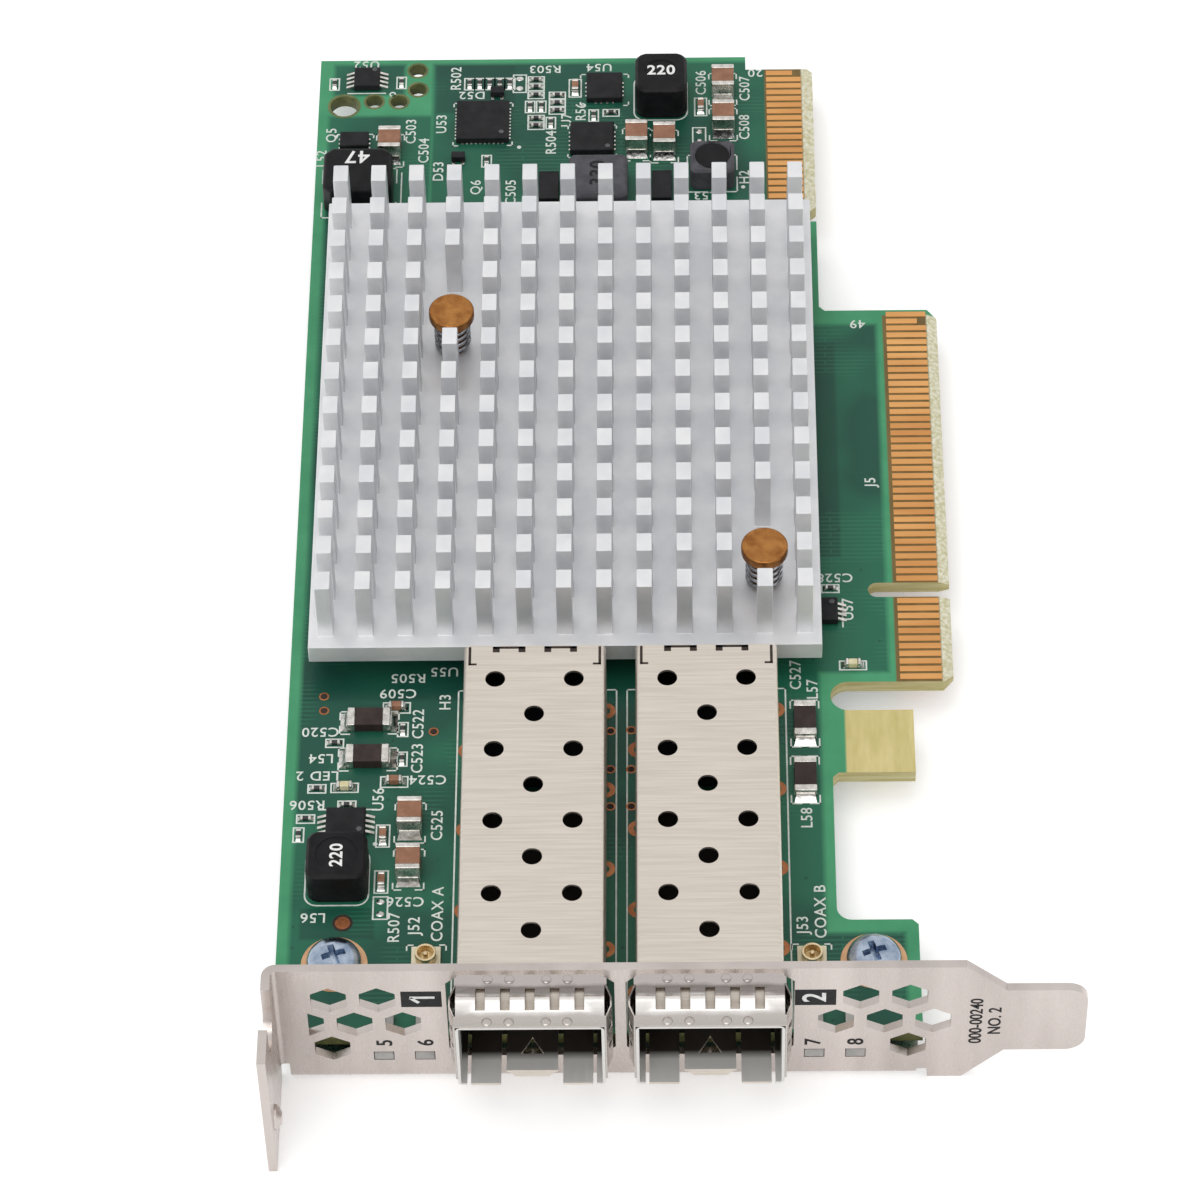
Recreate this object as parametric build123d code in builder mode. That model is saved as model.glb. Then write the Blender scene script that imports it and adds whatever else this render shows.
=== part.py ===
from build123d import *
import math
import os

# Low-profile network interface card, lying flat with its components up.
# The bracket's lower edge is at z = 0, the card's middle at x = y = 0.
# Places on the board are read from its left edge (x) and from edge contact one (y),
# but those of the parts behind the heat sink from its far edge (y), spread over the board's width (x).

# Sides drawn for small and for larger rounds, which keep the facets few
small_round_sides = 8
large_round_sides = 16

# Bracket sheet
bracket_length = 79.2
bracket_height = 18.4
sheet = 0.86
bend_radius = 0.5
tab_depth = 10.6
board_inset = 0.1
board_height = 5.0
contact_one_from_face = 45.9

# Bracket tongue, tab notch and flange
tongue_length = 7.8
tongue_slope = 4.0
tongue_width = 10.0
tongue_middle = 4.5
tongue_corner = 2.0
notch_width = 4.6
notch_depth = 5.4
notch_from_face = 4.4
dimple_radius = 1.3
dimple_height = 0.7
dimple_from_edge = 2.4
dimple_level = 5.8
dimple_crown = 0.8
dimple_rim = 0.05
tab_relief = 2.9
flange_depth = 4.0
flange_left = 1.7
flange_right = 62.9
flange_relief = 1.1
lug_width = 8.4
lug_past_screw = 4.0

# Bracket vents and light windows
vent_width = 3.46
vent_pitch = 4.7
vent_row_pitch = 4.05
vent_row_one = 8.6
vent_turn = 30
left_vent_one = 6.06
right_vent_one = 57.27
half_vent_edge = 3.9
window_width = 2.0
window_height = 1.4
window_level = -0.85
window_pitch = 4.0
left_window = 11.0
right_window = 52.9

# Board
board_width = 55.5
board_thickness = 1.57
board_gap = 1.0
connector_past = 12.7
connector_bevel = 1.1
connector_bevel_depth = 0.4
connector_corner = 1.0
edge_margin = 0.65
relief_width = 3.65
relief_flat = 0.05
keeper_past = 8.4
keeper_length = 8.0
ear_past = 8.05
ear_far = -30.6
ear_fillet = 1.5
corner_cut = 0.6
rear_strip = 27.1
rear_layout_width = 55.5
screw_clearance = 0.25
register_hole = 3.1
register_behind = (2.85, 19.9)
test_hole = 1.9
tests_behind = [(6.2, 20.6), (9.0, 20.55), (11.0, 25.4), (11.1, 22.4)]

# Edge contacts
contact_pitch = 1.0
contact_width = 0.7
contact_thickness = 0.05
contact_setback = 1.2
contact_length = 4.3
short_contact = 0.95
contacts_before_key = 11
contacts_after_key = 38
key_pitch = 3.0
key_width = 1.9
key_depth = 8.5
rear_contacts = 21
rear_contact_setback = 1.3
rear_contact_length = 3.9
rear_contact_from_far = 2.6
rear_margin = 0.6
rear_near_margin = 1.3
rear_shoulder_width = 7.5
rear_slot_width = 1.6
rear_slot_depth = 4.0

# Port cages
cage_one = 25.5
cage_pitch = 17.28
cage_width = 14.3
cage_height = 9.7
cage_wall = 0.3
cage_corner = 0.35
cage_reach = 4.1
cage_length = 46.7
cage_hole = 2.0
cage_hole_rows = 4
cage_hole_pitch = 8.85
cage_hole_spread = 7.9
cage_hole_from_rear = 4.25
cage_rear_low = 2.6
cage_rear_gap = 0.7
cage_notch = 0.7
cage_notches = 4
cage_notch_pitch = 2.6
latch_width = 5.0
latch_slot = 0.5
latch_length = 9.5
latch_setback = 1.5
latch_lip = 1.05
latch_lip_width = 3.2
latch_window = 2.6
latch_window_turn = 90
floor_slit = 0.35
floor_slit_length = 8.0
floor_slit_from_side = 1.05

# Spring-finger collars
collar_thickness = 0.2
collar_front = 1.25
collar_arch = 3.6
collar_crest = 1.0
collar_rear = 1.3
collar_top_rise = 0.7
collar_side_rise = 0.5
collar_side_low = 1.0
collar_slot = 0.9
collar_slot_pitch = 2.38
collar_top_slots = 5
collar_side_slots = 2
collar_slot_margin = 0.5
opening_side_gap = 0.25
opening_above_cage = 3.0
opening_below_board = 0.9
opening_corner = 1.4

# Port connectors
connector_width = 11.6
connector_height = 5.6
connector_depth = 9.0
connector_from_rear = 1.6
card_slot_width = 9.4
card_slot_height = 1.5
card_slot_depth = 5.0
card_slot_level = 3.2
floor_cut_gap = 0.8

# Controller chip and heat sink
chip_from_sink = (4.1, -6.1)
chip_size = 25.0
chip_substrate = 1.1
chip_lid = 19.0
chip_lid_height = 1.4
thermal_pad_height = 0.5
sink_middle = 28.4
sink_cage_gap = 3.4
sink_width = 52.5
sink_depth = 62.2
sink_base = 2.3
sink_pin_width = 1.6
sink_pin_depth = 2.36
sink_pin_height = 7.6
sink_columns = 13
sink_rows = 13
sink_side_margin = 0.97
sink_end_margin = 1.54
sink_pin_clear = 4.6

# Push pins and their springs
push_pin_spread = 32.7
push_pin_head = 4.8
push_pin_head_height = 1.2
push_pin_shank = 2.4
push_pin_barb = 3.4
push_pin_bevel = 0.8
push_pin_reach = 2.6
push_pin_clearance = 0.15
spring_height = 4.3
spring_wire = 0.45
spring_section = 0.4
spring_turns = 3.5
spring_runs = 7
spring_clearance = 0.3

# Bracket screws and standoffs
screw_places = [(5.8, -35.6), (59.0, -35.6)]
screw_shank = 2.8
screw_head = 5.4
screw_head_height = 1.9
screw_head_rim = 0.9
screw_crown = 3.4
screw_cross = 3.2
screw_cross_width = 0.8
screw_cross_depth = 1.1
screw_end_gap = 0.2
standoff_width = 5.6
standoff_bore_gap = 0.05

# Coaxial jacks
jack_places = [(14.85, -35.3), (52.9, -35.5)]
jack_base = 2.9
jack_base_height = 0.5
jack_ring = 2.1
jack_ring_bore = 1.6
jack_ring_height = 1.1
jack_pin = 0.5

# Chip parts: length, width, height and end cap of each size
large_chip = (3.2, 2.5, 2.5, 0.6)
bead_chip = (4.4, 2.3, 1.2, 0.8)
medium_chip = (1.6, 0.8, 0.8, 0.35)
small_chip = (1.0, 0.5, 0.35, 0)
cap_proud = 0.04
along_x = 0
along_y = 90
large_capacitors_behind = [
    (35.7, 13.55, along_y), (38.8, 13.2, along_y), (45.4, 22.0, along_y), (45.4, 16.5, along_y),
    (8.2, 12.9, along_y),
]
large_capacitors_near = [(12.85, -18.3, along_y), (12.85, -24.1, along_y)]
ferrite_beads = [
    (8.35, -5.5, along_x), (8.35, -10.2, along_x), (52.8, -6.0, along_y), (52.7, -13.2, along_y),
]
medium_capacitors_behind = [(28.8, 22.4, along_y), (42.9, 19.3, along_y)]
medium_capacitors_near = [
    (11.1, -3.6, along_x), (11.1, -13.1, along_x), (10.15, -19.9, along_y), (10.15, -25.6, along_y),
]
resistor_row = (16.9, 23.2)
resistor_row_pitch = 1.13
resistor_row_count = 5
resistors_behind = [
    (24.4, 23.75, along_x), (24.4, 22.6, along_x), (24.4, 21.35, along_x), (24.45, 17.7, along_x),
    (24.45, 16.55, along_x), (26.8, 21.3, along_x), (26.8, 20.1, along_x), (26.8, 18.9, along_x),
    (23.75, 19.55, along_y), (25.0, 19.55, along_y), (26.1, 17.0, along_y), (1.65, 23.35, along_y),
    (9.2, 23.5, along_y), (32.85, 18.5, along_x), (30.9, 18.1, along_y), (19.0, 11.2, along_y),
]
resistors_near = [
    (3.3, -13.9, along_x), (6.4, -16.0, along_x), (2.3, -17.7, along_x), (1.65, -19.7, along_y),
    (11.8, -6.4, along_y), (11.8, -10.2, along_y), (4.9, -8.1, along_x), (55.8, 11.7, along_x),
]
lamp_places = [(6.1, -13.8, along_x), (57.9, 1.5, along_x)]

# Chip packages: place, width, depth and height
flat_packages_behind = {
    "monitor_chip": ((18.5, 16.9), (5.9, 5.9, 0.9)),
    "regulator_chip": ((32.1, 22.1), (4.0, 4.0, 0.9)),
    "power_stage_chip": ((30.75, 14.1), (4.9, 4.4, 1.0)),
    "switching_transistor": ((4.2, 14.0), (3.2, 2.2, 1.0)),
}
leaded_packages_behind = {"memory_chip": ((5.35, 23.7), (2.9, 2.9, 1.0))}
leaded_packages_near = {
    "converter_chip": ((6.4, -18.6), (4.0, 3.4, 1.0)),
    "bus_chip": ((55.0, 8.35), (3.0, 3.0, 1.0)),
}
leads_a_side = 4
lead_pitch = 0.65
lead_width = 0.3
lead_reach = 0.9
lead_foot = 0.45
lead_thickness = 0.15
lead_level = 0.5
package_chamfer = 0.12
power_diodes_behind = [(26.0, 6.3), (38.5, 6.3)]
power_diode_size = (2.2, 4.2, 1.3)

# Power inductors: place, width, depth, height, corner and the radius of the dish on top
rounded_inductors_behind = {"rear_inductor": ((38.5, 20.7), (5.8, 6.1, 4.4), 1.4, 1.8)}
rounded_inductors_near = {"front_inductor": ((5.86, -25.1), (6.1, 5.9, 4.2), 1.3, 2.1)}
square_inductors_behind = {
    "left_inductor": ((4.95, 6.5), (7.6, 6.6, 4.0), 0.9, 0),
    "flat_inductor": ((31.5, 6.2), (6.5, 6.6, 3.0), 0.5, 0),
    "round_inductor": ((44.1, 9.0), (4.9, 4.9, 3.0), 0.5, 2.0),
}
corner_step = 22.5
inductor_chamfer = 0.35
inductor_dish = 0.15

# Link light pipes
light_pipe_gap = 0.1
light_pipe_rise = 1.2
light_pipe_seat = 2.2

# Levels along the card, from contact one
cage_front = -contact_one_from_face - cage_reach
cage_rear = cage_front + cage_length
sink_place = (sink_middle, cage_rear + sink_cage_gap + sink_depth / 2)
sink_far = sink_place[1] + sink_depth / 2
board_far = sink_far + rear_strip
board_near = sheet + board_gap - contact_one_from_face
board_reach = board_far + contact_one_from_face
rear_spread = board_width / rear_layout_width

# Datum planes
overall_depth = tab_depth + board_reach
face_y = tab_depth - overall_depth / 2
tab_x = -bracket_length / 2
board_left = tab_x + board_inset
contact_one_y = face_y + contact_one_from_face
board_top = Plane(origin=(board_left, contact_one_y, board_height))
board_under = board_top.offset(-board_thickness)
face = Plane(origin=(board_left, face_y, board_height), x_dir=(1, 0, 0), z_dir=(0, -1, 0))
corner = (Align.MIN, Align.MIN)
standing = (Align.CENTER, Align.MIN)

# Values worked out from the sizes above
connector_reach = board_width + connector_past
keeper_reach = board_width + keeper_past
ear_reach = board_width + ear_past
contact_outer = connector_reach - contact_setback
contact_inner = contact_outer - contact_length
key_inner = connector_reach - key_depth
contacts = [step * contact_pitch for step in range(contacts_before_key)]
key_far = contacts[-1] + key_pitch
key_place = contacts[-1] + key_pitch / 2
contacts += [key_far + step * contact_pitch for step in range(contacts_after_key)]
connector_far = contacts[-1] + edge_margin
keeper_far = -edge_margin - relief_width
keeper_near = keeper_far - keeper_length
rear_contact_outer = board_width - rear_contact_setback
rear_contact_inner = rear_contact_outer - rear_contact_length
rear_shoulder = board_width - rear_shoulder_width
rear_contact_near = board_far - rear_contact_from_far - (rear_contacts - 1) * contact_pitch
rear_rows = [rear_contact_near + step * contact_pitch for step in range(rear_contacts)]
rear_far = rear_rows[-1] + rear_margin
rear_near = rear_contact_near - rear_near_margin
cage_places = [cage_one, cage_one + cage_pitch]
sink_level = chip_substrate + chip_lid_height + thermal_pad_height
sink_top = sink_level + sink_base
sink_column_pitch = (sink_width - sink_pin_width - 2 * sink_side_margin) / (sink_columns - 1)
sink_row_pitch = (sink_depth - sink_pin_depth - 2 * sink_end_margin) / (sink_rows - 1)
chip_place = (sink_place[0] + chip_from_sink[0], sink_place[1] + chip_from_sink[1])
half_spread = push_pin_spread / 2
push_pin_places = [
    (chip_place[0] - half_spread, chip_place[1] + half_spread),
    (chip_place[0] + half_spread, chip_place[1] - half_spread),
]
push_pin_hole = push_pin_shank / 2 + push_pin_clearance
bend_outer = bend_radius + sheet
bracket_top = bracket_height - board_height
bracket_end = bracket_length - board_inset
tongue_full = bracket_end - tongue_length
tongue_start = tongue_full - tongue_slope
screw_hole = screw_shank / 2 + screw_clearance
window_places = [
    (start + step * window_pitch, window_level)
    for start in (left_window, right_window)
    for step in range(2)
]


def behind_sink(places):
    return [(place[0] * rear_spread, sink_far + place[1], *place[2:]) for place in places]


def pieces_behind_sink(pieces):
    return {name: (*behind_sink([place]), *rest) for name, (place, *rest) in pieces.items()}


# Places of the parts on the board, all from contact one
register_place = behind_sink([register_behind])[0]
test_places = behind_sink(tests_behind)
large_capacitors = behind_sink(large_capacitors_behind) + large_capacitors_near
medium_capacitors = behind_sink(medium_capacitors_behind) + medium_capacitors_near
row_resistors = [
    (resistor_row[0] + step * resistor_row_pitch, resistor_row[1], along_y)
    for step in range(resistor_row_count)
]
small_resistors = behind_sink(row_resistors + resistors_behind) + resistors_near
power_diodes = behind_sink(power_diodes_behind)
flat_packages = pieces_behind_sink(flat_packages_behind)
leaded_packages = pieces_behind_sink(leaded_packages_behind) | leaded_packages_near
rounded_inductors = pieces_behind_sink(rounded_inductors_behind) | rounded_inductors_near
square_inductors = pieces_behind_sink(square_inductors_behind)

os.makedirs("parts", exist_ok=True)


def save(part, name):
    part.label = name
    export_step(part, f"parts/{name}.step")


def nearest(sketch, x, y):
    return sketch.vertices().sort_by_distance((x, y))[0]


# Circuit board with its two edge connectors, keeper tab and bracket ear
with BuildPart() as circuit_board:
    with BuildSketch(board_top) as outline:
        with Locations((0, board_near)):
            Rectangle(board_width, board_far - board_near, align=corner)
        with Locations((0, -edge_margin)):
            Rectangle(connector_reach, connector_far + edge_margin, align=corner)
        with Locations((0, keeper_near)):
            Rectangle(keeper_reach, keeper_length, align=corner)
        with Locations((0, board_near)):
            Rectangle(ear_reach, ear_far - board_near, align=corner)
        with Locations((rear_shoulder, rear_far)):
            Rectangle(board_width, board_far, align=corner, mode=Mode.SUBTRACT)
        with Locations((board_width - rear_slot_depth, rear_near - rear_slot_width)):
            Rectangle(board_width, rear_slot_width, align=corner, mode=Mode.SUBTRACT)
        with Locations((key_inner + key_width / 2, key_place)):
            RegularPolygon(key_width / 2, large_round_sides, mode=Mode.SUBTRACT)
            Rectangle(connector_reach, key_width, align=(Align.MIN, Align.CENTER), mode=Mode.SUBTRACT)
        for level in (-edge_margin, keeper_far):
            fillet(nearest(outline, board_width, level), (relief_width - relief_flat) / 2)
        for level in (connector_far, keeper_near):
            chamfer(nearest(outline, board_width, level), corner_cut)
        fillet(nearest(outline, board_width, ear_far), ear_fillet)
        chamfer(nearest(outline, ear_reach, ear_far), corner_cut)
        for level in (-edge_margin, connector_far):
            chamfer(nearest(outline, connector_reach, level), connector_corner)
        for level in (rear_far, rear_near):
            chamfer(nearest(outline, board_width, level), corner_cut)
        with Locations(register_place):
            RegularPolygon(register_hole / 2, large_round_sides, mode=Mode.SUBTRACT)
        with Locations(*test_places):
            RegularPolygon(test_hole / 2, small_round_sides, mode=Mode.SUBTRACT)
        with Locations(*screw_places):
            RegularPolygon(screw_hole, small_round_sides, major_radius=False, mode=Mode.SUBTRACT)
        with Locations(*push_pin_places):
            RegularPolygon(push_pin_hole, small_round_sides, major_radius=False, mode=Mode.SUBTRACT)
    extrude(amount=-board_thickness)
    near_end = Plane(
        origin=(board_left + connector_reach, contact_one_y - edge_margin, board_height),
        x_dir=(-1, 0, 0), z_dir=(0, 1, 0),
    )
    with BuildSketch(near_end):
        for level, slope in ((0, -1), (-board_thickness, 1)):
            with BuildLine():
                Polyline(
                    (0, level), (connector_bevel, level),
                    (0, level + slope * connector_bevel_depth), close=True,
                )
            make_face()
    extrude(amount=connector_far + edge_margin, mode=Mode.SUBTRACT)
save(circuit_board.part, "circuit_board")


def contact_pads(plane, rows, short_row, inner, outer):
    with BuildSketch(plane) as pads:
        for row in rows:
            pad_length = outer - inner - (short_contact if row == short_row else 0)
            with Locations((inner, row)):
                Rectangle(pad_length, contact_width, align=(Align.MIN, Align.CENTER))
    return pads.sketch


# Gold contacts on both faces of the slot connector, one of them short
with BuildPart() as edge_contacts:
    for plane, amount in ((board_top, contact_thickness), (board_under, -contact_thickness)):
        extrude(contact_pads(plane, contacts, contacts[-2], contact_inner, contact_outer), amount=amount)
save(edge_contacts.part, "edge_contacts")

# Gold contacts of the second connector on the board's rear corner
with BuildPart() as rear_edge_contacts:
    for plane, amount in ((board_top, contact_thickness), (board_under, -contact_thickness)):
        pads = contact_pads(plane, rear_rows, rear_rows[-1], rear_contact_inner, rear_contact_outer)
        extrude(pads, amount=amount)
save(rear_edge_contacts.part, "rear_edge_contacts")

# Folded bracket: face, screw tab and stiffening flange under the board
with BuildPart() as bracket:
    with BuildSketch(Plane.XY):
        with BuildLine():
            FilletPolyline(
                (tab_x, face_y - tab_depth), (tab_x, face_y + sheet),
                (tab_x + bracket_length, face_y + sheet), radius=bend_outer,
            )
            offset(amount=sheet, side=Side.RIGHT)
        make_face()
    extrude(amount=bracket_height)
    with BuildSketch(face):
        for edge, side in ((bracket_top, 1), (-board_height, -1)):
            with BuildLine():
                Polyline(
                    (tongue_start, edge), (tongue_full, tongue_middle + side * tongue_width / 2),
                    (bracket_end, tongue_middle + side * tongue_width / 2), (bracket_end, edge),
                    close=True,
                )
            make_face()
    extrude(amount=-sheet, mode=Mode.SUBTRACT)
    tongue_edges = bracket.edges().filter_by(Axis.Y).group_by(Axis.X)[-1]
    fillet(tongue_edges, tongue_corner)
    with BuildSketch(face):
        with Locations((flange_left, -board_height)):
            Rectangle(flange_right - flange_left + flange_relief, bend_outer, align=corner)
    extrude(amount=-sheet, mode=Mode.SUBTRACT)
    with BuildSketch(face.offset(bend_radius)):
        with Locations((sheet - board_inset, -board_height)):
            Rectangle(flange_left - sheet + board_inset, tab_relief, align=corner)
    extrude(amount=-bend_outer, mode=Mode.SUBTRACT)
    with BuildSketch(Plane.YZ.offset(board_left + flange_left)):
        with BuildLine():
            FilletPolyline(
                (face_y, bend_outer + sheet), (face_y, 0), (face_y + flange_depth, 0),
                radius=bend_outer,
            )
            offset(amount=sheet, side=Side.LEFT)
        make_face()
    extrude(amount=flange_right - flange_left)
    with BuildSketch(Plane.XY):
        for x, y in screw_places:
            lug_end = contact_one_y + y + lug_past_screw
            with Locations((board_left + x, face_y + bend_outer)):
                Rectangle(lug_width, lug_end - face_y - bend_outer, align=standing)
    extrude(amount=sheet)
    with BuildSketch(face):
        for x in cage_places:
            low = -opening_below_board
            high = cage_height + opening_above_cage
            half = cage_width / 2 + collar_thickness + collar_side_rise + opening_side_gap
            with Locations((x, (low + high) / 2)):
                opening = Rectangle(2 * half, high - low)
            chamfer(opening.vertices(), opening_corner)
        for start, lower in ((left_vent_one, 0), (right_vent_one, 1)):
            rows = (
                [(start + step * vent_pitch, vent_row_one) for step in range(2)]
                + [(start + (step + 0.5) * vent_pitch, vent_row_one - vent_row_pitch) for step in range(2)]
                + [(start + lower * vent_pitch, vent_row_one - 2 * vent_row_pitch)]
            )
            with Locations(*rows):
                RegularPolygon(vent_width / 2, 6, major_radius=False, rotation=vent_turn)
        with Locations((right_vent_one - vent_pitch / 2, vent_row_one - vent_row_pitch)):
            RegularPolygon(vent_width / 2, 6, major_radius=False, rotation=vent_turn)
        with Locations(*window_places):
            Rectangle(window_width, window_height)
    extrude(amount=-sheet, mode=Mode.SUBTRACT)
    half_vent = left_vent_one - vent_pitch / 2
    with BuildSketch(face):
        with Locations((half_vent, vent_row_one - vent_row_pitch)):
            RegularPolygon(vent_width / 2, 6, major_radius=False, rotation=vent_turn)
        with Locations((half_vent_edge, vent_row_one - vent_row_pitch)):
            Rectangle(vent_width, vent_pitch, align=(Align.MIN, Align.CENTER), mode=Mode.INTERSECT)
    extrude(amount=-sheet, mode=Mode.SUBTRACT)
    tab = Plane(origin=(tab_x, face_y, 0), x_dir=(0, -1, 0), z_dir=(-1, 0, 0))
    with BuildSketch(tab):
        with Locations((notch_from_face, bracket_height - notch_depth + notch_width / 2)):
            RegularPolygon(notch_width / 2, large_round_sides)
            Rectangle(notch_width, notch_depth, align=standing)
    extrude(amount=-sheet, mode=Mode.SUBTRACT)
    with BuildSketch(tab.offset(-sheet)):
        with Locations((tab_depth - dimple_from_edge, dimple_level)):
            RegularPolygon(dimple_radius, small_round_sides)
    dimple = extrude(amount=-dimple_height)
    dimple_top = dimple.faces().sort_by(Axis.X)[-1]
    chamfer(dimple_top.edges(), dimple_radius - dimple_crown, dimple_height - dimple_rim)
save(bracket.part, "bracket")

# Standoffs riveted in the flange, and the screws that clamp the board on them
with BuildPart() as bracket_standoffs:
    with BuildSketch(board_under):
        with Locations(*screw_places):
            RegularPolygon(standoff_width / 2, 6, major_radius=False)
            bore = screw_shank / 2 + standoff_bore_gap
            RegularPolygon(bore, small_round_sides, major_radius=False, mode=Mode.SUBTRACT)
    extrude(amount=-(board_height - board_thickness - sheet))
save(bracket_standoffs.part, "bracket_standoffs")

with BuildPart() as bracket_screws:
    with BuildSketch(board_top):
        with Locations(*screw_places):
            RegularPolygon(screw_shank / 2, small_round_sides)
    extrude(amount=sheet + screw_end_gap - board_height)
    with BuildSketch(board_top):
        with Locations(*screw_places):
            RegularPolygon(screw_head / 2, large_round_sides)
    extrude(amount=screw_head_height)
    head_tops = bracket_screws.faces().group_by(Axis.Z)[-1]
    chamfer(head_tops.edges(), (screw_head - screw_crown) / 2, screw_head_height - screw_head_rim)
    with BuildSketch(board_top.offset(screw_head_height)):
        with Locations(*screw_places):
            Rectangle(screw_cross, screw_cross_width)
            Rectangle(screw_cross_width, screw_cross)
    extrude(amount=-screw_cross_depth, mode=Mode.SUBTRACT)
save(bracket_screws.part, "bracket_screws")


arch_end = collar_front + collar_arch
collar_end = arch_end + collar_rear


def collar_section(plane, rise):
    crest_start = collar_front + (collar_arch - collar_crest) / 2
    crest_end = crest_start + collar_crest
    top = rise + collar_thickness
    with BuildSketch(plane) as section:
        with BuildLine():
            Polyline(
                (0, 0), (0, collar_thickness), (collar_front, collar_thickness), (crest_start, top),
                (crest_end, top), (arch_end, collar_thickness), (collar_end, collar_thickness),
                (collar_end, 0), (arch_end, 0), (crest_end, rise), (crest_start, rise),
                (collar_front, 0), close=True,
            )
        make_face()
    return section.sketch


def cage_planes(x):
    front = (board_left + x, contact_one_y + cage_front, board_height)
    mouth = Plane(origin=front, x_dir=(1, 0, 0), z_dir=(0, -1, 0))
    return mouth, Plane(origin=front)


# Folded port cages with vent holes, open mouths and sprung latch tongues
for number, x in enumerate(cage_places, start=1):
    mouth, floor = cage_planes(x)
    roof = floor.offset(cage_height)
    with BuildPart() as cage:
        with BuildSketch(mouth):
            with Locations((0, cage_height / 2)):
                shell = Rectangle(cage_width, cage_height)
                chamfer(shell.vertices(), cage_corner)
                Rectangle(cage_width - 2 * cage_wall, cage_height - 2 * cage_wall, mode=Mode.SUBTRACT)
        extrude(amount=-cage_length)
        with BuildSketch(mouth.offset(-cage_length)):
            with Locations((0, cage_rear_low)):
                rear_height = cage_height - cage_rear_low - cage_wall / 2
                Rectangle(cage_width - 2 * cage_rear_gap, rear_height, align=standing)
        extrude(amount=cage_wall)
        with BuildSketch(roof):
            rear_row = cage_length - cage_hole_from_rear
            for row in range(cage_hole_rows):
                level = rear_row - row * cage_hole_pitch
                with Locations((-cage_hole_spread / 2, level), (cage_hole_spread / 2, level)):
                    RegularPolygon(cage_hole / 2, small_round_sides)
                with Locations((0, level - cage_hole_pitch / 2)):
                    RegularPolygon(cage_hole / 2, small_round_sides)
            with Locations((0, cage_length)):
                with GridLocations(cage_notch_pitch, 1, cage_notches, 1):
                    Rectangle(cage_notch, cage_notch, align=(Align.CENTER, Align.MAX))
        extrude(amount=-cage_wall, mode=Mode.SUBTRACT)
        floor_cut = connector_depth + connector_from_rear + floor_cut_gap
        with BuildSketch(floor):
            with Locations((0, cage_length - floor_cut)):
                Rectangle(connector_width + 2 * floor_cut_gap, floor_cut, align=standing)
            for side in (-1, 1):
                with Locations((side * (latch_width + latch_slot) / 2, 0)):
                    Rectangle(latch_slot, latch_length, align=standing)
                with Locations((side * (cage_width / 2 - floor_slit_from_side), 0)):
                    Rectangle(floor_slit, floor_slit_length, align=standing)
            Rectangle(latch_width, latch_setback, align=standing)
            with Locations((0, latch_setback + latch_window)):
                RegularPolygon(latch_window / 2, 3, rotation=latch_window_turn)
        extrude(amount=cage_wall, mode=Mode.SUBTRACT)
        with BuildSketch(mouth.offset(-latch_setback)):
            with BuildLine():
                Polyline(
                    (-latch_width / 2, cage_wall), (-latch_lip_width / 2, cage_wall - latch_lip),
                    (latch_lip_width / 2, cage_wall - latch_lip), (latch_width / 2, cage_wall), close=True,
                )
            make_face()
        extrude(amount=-cage_wall)
    save(cage.part, f"port_{number}_cage")

    # Spring-finger collar round the mouth
    left = mouth.origin + Vector(-cage_width / 2, 0, cage_height)
    right = mouth.origin + Vector(cage_width / 2, 0, cage_height)
    slot_length = collar_arch - 2 * collar_slot_margin
    slot_start = collar_front + collar_slot_margin
    side_height = cage_height - collar_side_low
    with BuildPart() as collar:
        top_start = Plane(origin=left, x_dir=(0, 1, 0), z_dir=(1, 0, 0))
        extrude(collar_section(top_start, collar_top_rise), amount=cage_width)
        with BuildSketch(roof):
            with Locations((0, slot_start + slot_length / 2)):
                with GridLocations(collar_slot_pitch, 1, collar_top_slots, 1):
                    Rectangle(collar_slot, slot_length)
        extrude(amount=collar_top_rise + 2 * collar_thickness, mode=Mode.SUBTRACT)
        side_start = Plane(origin=right, x_dir=(0, 1, 0), z_dir=(0, 0, -1))
        extrude(collar_section(side_start, collar_side_rise), amount=side_height)
        wall = Plane(origin=right, x_dir=(0, 1, 0), z_dir=(1, 0, 0))
        with BuildSketch(wall):
            with Locations((slot_start + slot_length / 2, -side_height / 2)):
                with GridLocations(1, side_height / (collar_side_slots + 1), 1, collar_side_slots):
                    Rectangle(slot_length, collar_slot)
        extrude(amount=collar_side_rise + 2 * collar_thickness, mode=Mode.SUBTRACT)
        for start, length in ((0, collar_front), (arch_end, collar_rear)):
            with BuildSketch(wall):
                with Locations((start, 0)):
                    Rectangle(length, collar_thickness, align=corner)
            extrude(amount=collar_thickness)
        mirror(about=Plane.YZ.offset(board_left + x))
    save(collar.part, f"port_{number}_spring_collar")

    # Card-edge connector at the back of the cage
    connector_front = cage_length - connector_from_rear - connector_depth
    with BuildPart() as port_connector:
        with BuildSketch(floor):
            with Locations((0, connector_front)):
                Rectangle(connector_width, connector_depth, align=standing)
        extrude(amount=connector_height)
        with BuildSketch(mouth.offset(-connector_front)):
            with Locations((0, card_slot_level)):
                Rectangle(card_slot_width, card_slot_height)
        extrude(amount=-card_slot_depth, mode=Mode.SUBTRACT)
    save(port_connector.part, f"port_{number}_connector")

# Controller chip: substrate with a metal lid, and the pad between lid and heat sink
with BuildPart() as controller_chip:
    with BuildSketch(board_top):
        with Locations(chip_place):
            Rectangle(chip_size, chip_size)
    extrude(amount=chip_substrate)
    with BuildSketch(board_top.offset(chip_substrate)):
        with Locations(chip_place):
            Rectangle(chip_lid, chip_lid)
    extrude(amount=chip_lid_height)
save(controller_chip.part, "controller_chip")

with BuildPart() as thermal_pad:
    with BuildSketch(board_top.offset(sink_level - thermal_pad_height)):
        with Locations(chip_place):
            Rectangle(chip_lid, chip_lid)
    extrude(amount=thermal_pad_height)
save(thermal_pad.part, "thermal_pad")


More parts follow.
